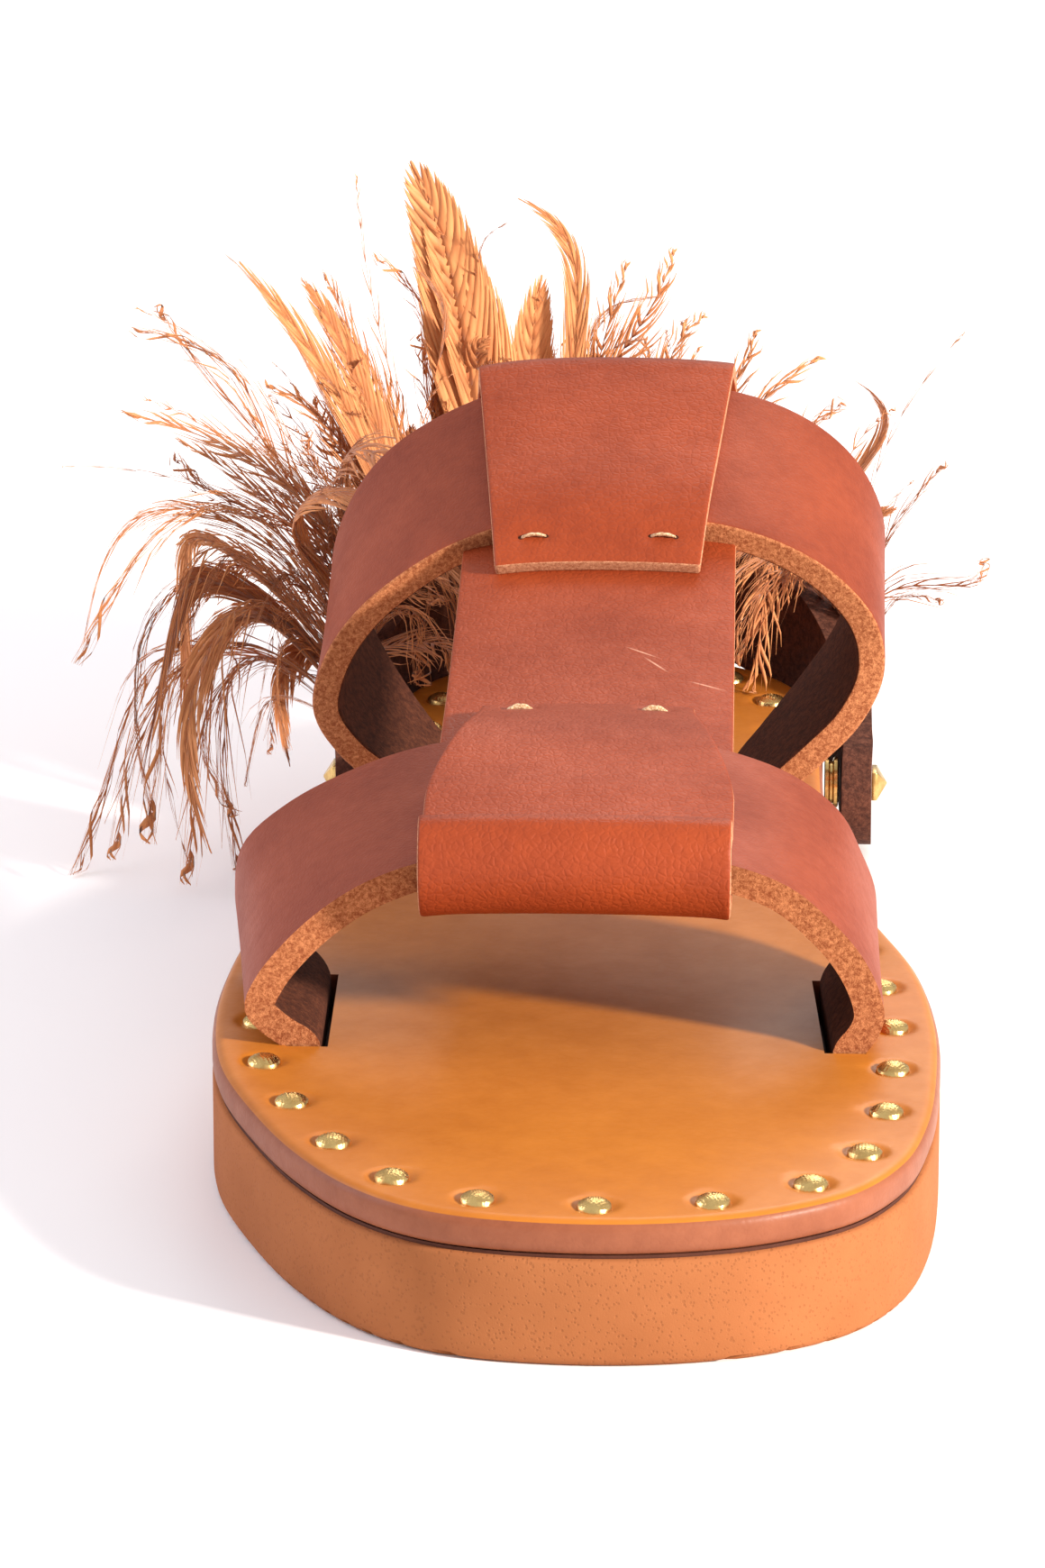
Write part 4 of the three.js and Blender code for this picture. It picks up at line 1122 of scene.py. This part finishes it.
feathers = {
    "length": 72.0,
    "bandThickness": 1.6,
    "bandHeight": 7.0,
    "seed": 11,
    "restGap": 0.6,
    "restShare": 0.03,
    "sideMargin": 3.0,
    "fluff": {"medial": 8, "back_medial": 12, "back_lateral": 9, "lateral": 9, "side": 3},
    "extras": {"medial": 1, "back_medial": 6, "back_lateral": 6, "lateral": 7, "side": 4},
    # cluster, place on the heel strap, middle and tip from the root as shares of the length
    # (x, back, up), width, kind
    "plumes": [
        ("medial", 0.22, (0.07, -0.06, 0.11), (0.2, -0.2, 0.18), 4, "strands"),
        ("medial", 0.25, (0.09, -0.04, 0.2), (0.23, -0.15, 0.44), 5, "strands"),
        ("medial", 0.29, (0.11, 0.0, 0.25), (0.32, -0.17, 0.69), 4, "wispy"),
        ("medial", 0.33, (0.1, 0.04, 0.22), (0.24, 0.04, 0.41), 6, "wispy"),
        ("back_medial", 0.39, (0.08, 0.06, 0.16), (0.25, 0.11, 0.35), 8, "strands"),
        ("back_medial", 0.42, (0.06, 0.08, 0.2), (0.27, 0.06, 0.45), 8, "loose"),
        ("back_medial", 0.45, (0.05, 0.09, 0.22), (0.19, 0.17, 0.47), 9, "loose"),
        ("back_medial", 0.47, (-0.02, 0.13, 0.2), (-0.02, 0.27, 0.42), 10, "loose"),
        ("back_medial", 0.48, (0.04, 0.05, 0.3), (0.15, 0.11, 0.51), 9, "loose"),
        ("back_medial", 0.44, (0.02, -0.08, 0.14), (-0.02, -0.26, 0.05), 10, "strands"),
        ("back_lateral", 0.53, (0.02, 0.05, 0.33), (0.1, 0.05, 0.65), 9, "loose"),
        ("back_lateral", 0.54, (0.07, 0.1, 0.36), (0.23, 0.1, 0.67), 10, "loose"),
        ("back_lateral", 0.55, (0.05, -0.09, 0.14), (0.08, -0.27, 0.04), 11, "strands"),
        ("back_lateral", 0.62, (0.02, -0.06, 0.2), (0.16, -0.22, 0.1), 11, "strands"),
        ("back_lateral", 0.56, (0.06, 0.04, 0.5), (-0.07, 0.04, 0.8), 5, "narrow"),
        ("back_lateral", 0.58, (0.0, 0.05, 0.31), (0.03, 0.1, 0.62), 9, "broad"),
        ("back_lateral", 0.6, (-0.07, 0.04, 0.49), (-0.17, 0.04, 0.83), 12, "broad"),
        ("back_lateral", 0.61, (-0.08, 0.03, 0.52), (-0.19, 0.01, 0.92), 13, "broad"),
        ("lateral", 0.665, (-0.13, 0.03, 0.5), (-0.2, 0.06, 0.93), 4, "wispy"),
        ("lateral", 0.67, (-0.13, 0.1, 0.32), (-0.25, 0.18, 0.56), 10, "loose"),
        ("lateral", 0.68, (0.02, -0.07, 0.22), (0.22, -0.25, 0.16), 10, "strands"),
        ("lateral", 0.76, (-0.06, -0.16, 0.46), (0.22, -0.56, 0.4), 11, "loose"),
        ("lateral", 0.74, (-0.02, -0.12, 0.3), (0.26, -0.42, 0.3), 9, "strands"),
        ("lateral", 0.69, (-0.12, 0.05, 0.4), (-0.28, 0.08, 0.71), 8, "narrow"),
        ("lateral", 0.7, (-0.16, 0.01, 0.44), (-0.39, -0.05, 0.79), 6, "narrow"),
        ("lateral", 0.71, (-0.11, 0.05, 0.28), (-0.33, 0.05, 0.5), 9, "loose"),
        ("lateral", 0.73, (-0.22, -0.05, 0.4), (-0.57, -0.16, 0.75), 4, "wispy"),
        ("lateral", 0.75, (-0.22, -0.03, 0.34), (-0.57, -0.17, 0.54), 9, "loose"),
        ("lateral", 0.77, (-0.17, -0.03, 0.27), (-0.43, -0.1, 0.49), 10, "loose"),
        ("side", 0.82, (-0.26, -0.2, 0.44), (-0.57, -0.42, 0.14), 7, "strands"),
        ("side", 0.825, (-0.21, -0.05, 0.27), (-0.35, -0.17, 0.2), 8, "loose"),
        ("side", 0.84, (-0.3, -0.18, 0.36), (-0.4, -0.52, -0.2), 9, "strands"),
        ("side", 0.85, (-0.24, -0.14, 0.22), (-0.31, -0.54, -0.27), 9, "strands"),
        ("side", 0.87, (-0.3, -0.16, 0.17), (-0.46, -0.52, -0.19), 8, "strands"),
    ],
    "ranges": {
        "medial": (0.2, 0.355), "back_medial": (0.365, 0.495), "back_lateral": (0.505, 0.635),
        "lateral": (0.645, 0.79), "side": (0.8, 0.9),
    },
}
# locks per side, how far a lock runs up the quill, its width, ragged ends, waviness and bare quill
featherKinds = {
    "broad": {"locks": 50, "lean": 0.46, "lockWidth": 1.5, "ragged": 0.12, "wave": 0.05, "stray": 0.0,
              "bare": 0.06, "fullness": 0.45},
    "narrow": {"locks": 26, "lean": 0.46, "lockWidth": 1.3, "ragged": 0.3, "wave": 0.12, "stray": 0.05,
               "bare": 0.05, "fullness": 0.6},
    "loose": {"locks": 24, "lean": 0.5, "lockWidth": 0.6, "ragged": 0.6, "wave": 0.3, "stray": 0.2,
              "bare": 0.0, "fullness": 0.6},
    "wispy": {"locks": 9, "lean": 0.4, "lockWidth": 0.36, "ragged": 0.6, "wave": 0.3, "stray": 0.3,
              "bare": 0.25, "fullness": 0.8},
    "strands": {"locks": 11, "lean": 0.85, "lockWidth": 0.5, "ragged": 0.4, "wave": 0.4, "stray": 0.5,
                "bare": 0.0, "fullness": 0.4},
}
lockSteps = 7


def lockTemplate():
    # one closed flat lock of barbs: across in x, along in y
    bm = bmesh.new()
    bmesh.ops.create_grid(bm, x_segments=1, y_segments=lockSteps, size=0.5)
    bmesh.ops.solidify(bm, geom=bm.faces[:], thickness=0.2)
    mesh = bpy.data.meshes.new("lockTemplate")
    bm.to_mesh(mesh)
    bm.free()
    return mesh


def quillTemplate():
    bm = bmesh.new()
    mapGrid(bm, 5, 18, lambda u, v: Vector((math.cos(2 * math.pi * u), v, math.sin(2 * math.pi * u))))
    closeSeams(bm)
    fillRims(bm)
    mesh = bpy.data.meshes.new("quillTemplate")
    bm.to_mesh(mesh)
    bm.free()
    return mesh


def featherTemplate(kind, seed):
    # a flat feather of unit width and length, with the place of each corner along and across it
    style = featherKinds[kind]
    rng = random.Random(seed)
    bm = bmesh.new()
    values = []
    bm.from_mesh(quillMesh)
    bm.verts.ensure_lookup_table()
    for vert in bm.verts:
        along = vert.co.y
        thick = mix(0.035, 0.004, along)
        vert.co = Vector((vert.co.x * thick, along * 0.97, vert.co.z * thick * 0.7))
        values.append((0.5, 0.0))
    for side in (-1, 1):
        split = 0.0
        for number in range(style["locks"]):
            along = mix(style["bare"], 0.96, number / (style["locks"] - 1))
            lean = style["lean"] * (1 - 0.86 * along) * (1 + style["wave"] * rng.uniform(-1, 1))
            if rng.random() < 0.14:
                split = rng.uniform(-0.6, 1) * 0.06
            split *= 0.7
            end = min(along + lean + split * (1 - along), 1.0)
            outline = (math.sin(math.pi * end ** 0.85) ** style["fullness"]) if end < 1 else 0
            outline = max(outline, 0.06 * (1 - along))
            reach = 0.5 * outline * (1 - style["ragged"] * rng.random()) * (1 + style["wave"] * rng.uniform(-0.5, 1))
            curl = style["wave"] * rng.uniform(-1, 1)
            stray = style["stray"] * rng.uniform(-1, 1)
            bends = rng.uniform(4, 8)
            start = len(bm.verts)
            bm.from_mesh(lockMesh)
            bm.verts.ensure_lookup_table()
            for vert in bm.verts[start:]:
                out = min(max(vert.co.y + 0.5, 0), 1)
                half = style["lockWidth"] / 60 * (1 - 0.9 * out ** 3)
                sway = curl * math.sin(out * 4.2) * 0.12 + stray * math.sin(out * bends) * out ** 0.5
                x = side * (reach * (1 - (1 - out) ** 1.5) + sway * 0.5)
                y = along + (end - along) * out ** 1.15 + vert.co.x * half * 1.5
                z = curl * out * out * 0.5 + (vert.co.z - 0.1) * 0.16 * (1 - 0.7 * out) + 0.012 * (number % 3)
                vert.co = Vector((x - vert.co.x * half * side * 2.0, y, z))
                values.append((number / style["locks"] + vert.co.x * 0.02, out))
    faceOut(bm)
    mesh = bpy.data.meshes.new("feather_" + kind)
    bm.to_mesh(mesh)
    bm.free()
    return mesh, values


lockMesh = lockTemplate()
quillMesh = quillTemplate()
templates = {kind: [featherTemplate(kind, seed) for seed in (1, 2, 3)] for kind in featherKinds}


def curveFrames(root, middle, tip, facing, sway=Vector(), steps=24):
    # places and turning-free frames along a swaying bow from root over middle to tip
    control = 2 * middle - (root + tip) / 2

    def at(t):
        bow = root * (1 - t) ** 2 + control * 2 * t * (1 - t) + tip * t * t
        return bow + sway * math.sin(2 * math.pi * t) * t

    frames = []
    normal = facing
    for step in range(steps + 3):
        t = step / steps
        heading = (at(t + 0.01) - at(t - 0.01)).normalized()
        normal = (normal - heading * normal.dot(heading)).normalized()
        frames.append((at(t), heading.cross(normal), normal))
    return frames


heelSides = {y: (sideReach(-1, y), sideReach(1, y)) for y in range(50, 128)}


def restOn(place):
    # barbs that droop to the footbed or to the floor lie down on it
    lateral, medial = heelSides.get(round(place.y), (0, 0))
    lowest = feathers["restGap"]
    if lateral + feathers["sideMargin"] < place.x < medial - feathers["sideMargin"]:
        lowest += footbedTop
    if place.z < lowest:
        place.z = lowest + (place.z - lowest) * feathers["restShare"]


def placeFeather(bm, layers, template, frames, width, tone, roll=0.0, cup=0.12):
    mesh, values = template
    start = len(bm.verts)
    bm.from_mesh(mesh)
    bm.verts.ensure_lookup_table()
    steps = len(frames) - 3
    for vert, (barb, reach) in zip(bm.verts[start:], values):
        place = min(max(vert.co.y * steps, 0), steps + 1.999)
        first = int(place)
        part = place - first
        a, b = frames[first], frames[first + 1]
        angle = roll * vert.co.y
        side = a[1].lerp(b[1], part)
        normal = a[2].lerp(b[2], part)
        across = side * math.cos(angle) + normal * math.sin(angle)
        facing = normal * math.cos(angle) - side * math.sin(angle)
        x = vert.co.x * width
        vert.co = a[0].lerp(b[0], part) + across * x + facing * (vert.co.z * width * 0.25 - cup * x * x / width * 4)
        restOn(vert.co)
        vert[layers[0]] = tone
        vert[layers[1]] = barb
        vert[layers[2]] = reach


def featherRoot(share):
    point, outward, upward, heading = heelFrame(share)
    standOff = heel["thickness"] / 2 + heel["gap"] + feathers["bandThickness"] / 2
    lift = heel["height"] / 2 - feathers["bandHeight"] / 2 - 1
    return point + outward * standOff + upward * lift, outward


def quillBand(low, high):
    # the band that holds the quills, along the outside of the heel strap
    bm = bmesh.new()

    def bandPlace(u, v):
        share = mix(low, high, u)
        upward = heelFrame(share)[2]
        root, outward = featherRoot(share)
        angle = 2 * math.pi * v
        half = Vector((feathers["bandThickness"], feathers["bandHeight"])) / 2
        return root + outward * math.cos(angle) * half.x + upward * math.sin(angle) * half.y

    mapGrid(bm, 24, 12, bandPlace)
    closeSeams(bm)
    fillRims(bm)
    faceOut(bm)
    mesh = bpy.data.meshes.new("quillBand")
    bm.to_mesh(mesh)
    bm.free()
    return mesh


def makeFeathers(cluster):
    rng = random.Random(feathers["seed"] + sum(map(ord, cluster)))
    low, high = feathers["ranges"][cluster]
    band = quillBand(low, high)
    bm = bmesh.new()
    bm.from_mesh(band)
    bpy.data.meshes.remove(band)
    layers = [bm.verts.layers.float.new(label) for label in ("tone", "barb", "reach")]
    for vert in bm.verts:
        vert[layers[0]] = 0.1
    length = feathers["length"]
    rows = [row for row in feathers["plumes"] if row[0] == cluster]
    def swayOf(size):
        return Vector((rng.uniform(-1, 1), rng.uniform(-1, 1), rng.uniform(-0.6, 0.6))) * size

    for _, share, middle, tip, width, kind in rows:
        root, outward = featherRoot(share)
        frames = curveFrames(root, root + Vector(middle) * length, root + Vector(tip) * length, outward, swayOf(1.0 if kind == "broad" else 3.2))
        placeFeather(bm, layers, rng.choice(templates[kind]), frames, width, rng.uniform(0.5, 1.0), rng.uniform(-0.5, 0.5))
        for extra in range(feathers["extras"][cluster]):
            # smaller feathers and loose barbs beside each plume
            other = rng.choice(("loose", "strands", "wispy", "strands", "wispy", "narrow"))
            moved = min(max(share + rng.uniform(-0.03, 0.03), low + 0.005), high - 0.005)
            root, outward = featherRoot(moved)
            size = rng.uniform(0.3, 0.95) * length
            stray = Vector((rng.uniform(-0.2, 0.2), rng.uniform(-0.14, 0.14), rng.uniform(-0.16, 0.1)))
            end = (Vector(tip) + stray) * size
            bow = (Vector(middle) + stray * 0.35) * size + outward * size * 0.08
            frames = curveFrames(root, root + bow, root + end, outward, swayOf(size * 0.09))
            placeFeather(bm, layers, rng.choice(templates[other]), frames, rng.uniform(3.5, 9),
                         rng.uniform(0.15, 1.0), rng.uniform(-1.4, 1.4))
    for number in range(feathers["fluff"][cluster]):
        # curly fluff that hangs over the strap's top to the inside
        root, outward = featherRoot(mix(low + 0.01, high - 0.01, rng.random()))
        bow = up * rng.uniform(0.1, 0.24) * length - outward * rng.uniform(0.1, 0.16) * length
        end = up * rng.uniform(-0.22, 0.16) * length - outward * rng.uniform(0.2, 0.42) * length
        end += Vector((rng.uniform(-1, 1), rng.uniform(-1, 1), 0)) * 0.1 * length
        frames = curveFrames(root, root + bow, root + end, outward, swayOf(3.0))
        placeFeather(bm, layers, rng.choice(templates[rng.choice(("strands", "loose"))]), frames,
                     rng.uniform(8, 13), rng.uniform(0.35, 1.0), rng.uniform(-1.2, 1.2))
    return makePiece("plumes_" + cluster, bm, [featherMaterial], ["feathers_" + cluster])


for cluster in feathers["ranges"]:
    makeFeathers(cluster)
print("feathers are made")

bpy.context.view_layer.update()
low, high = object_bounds()
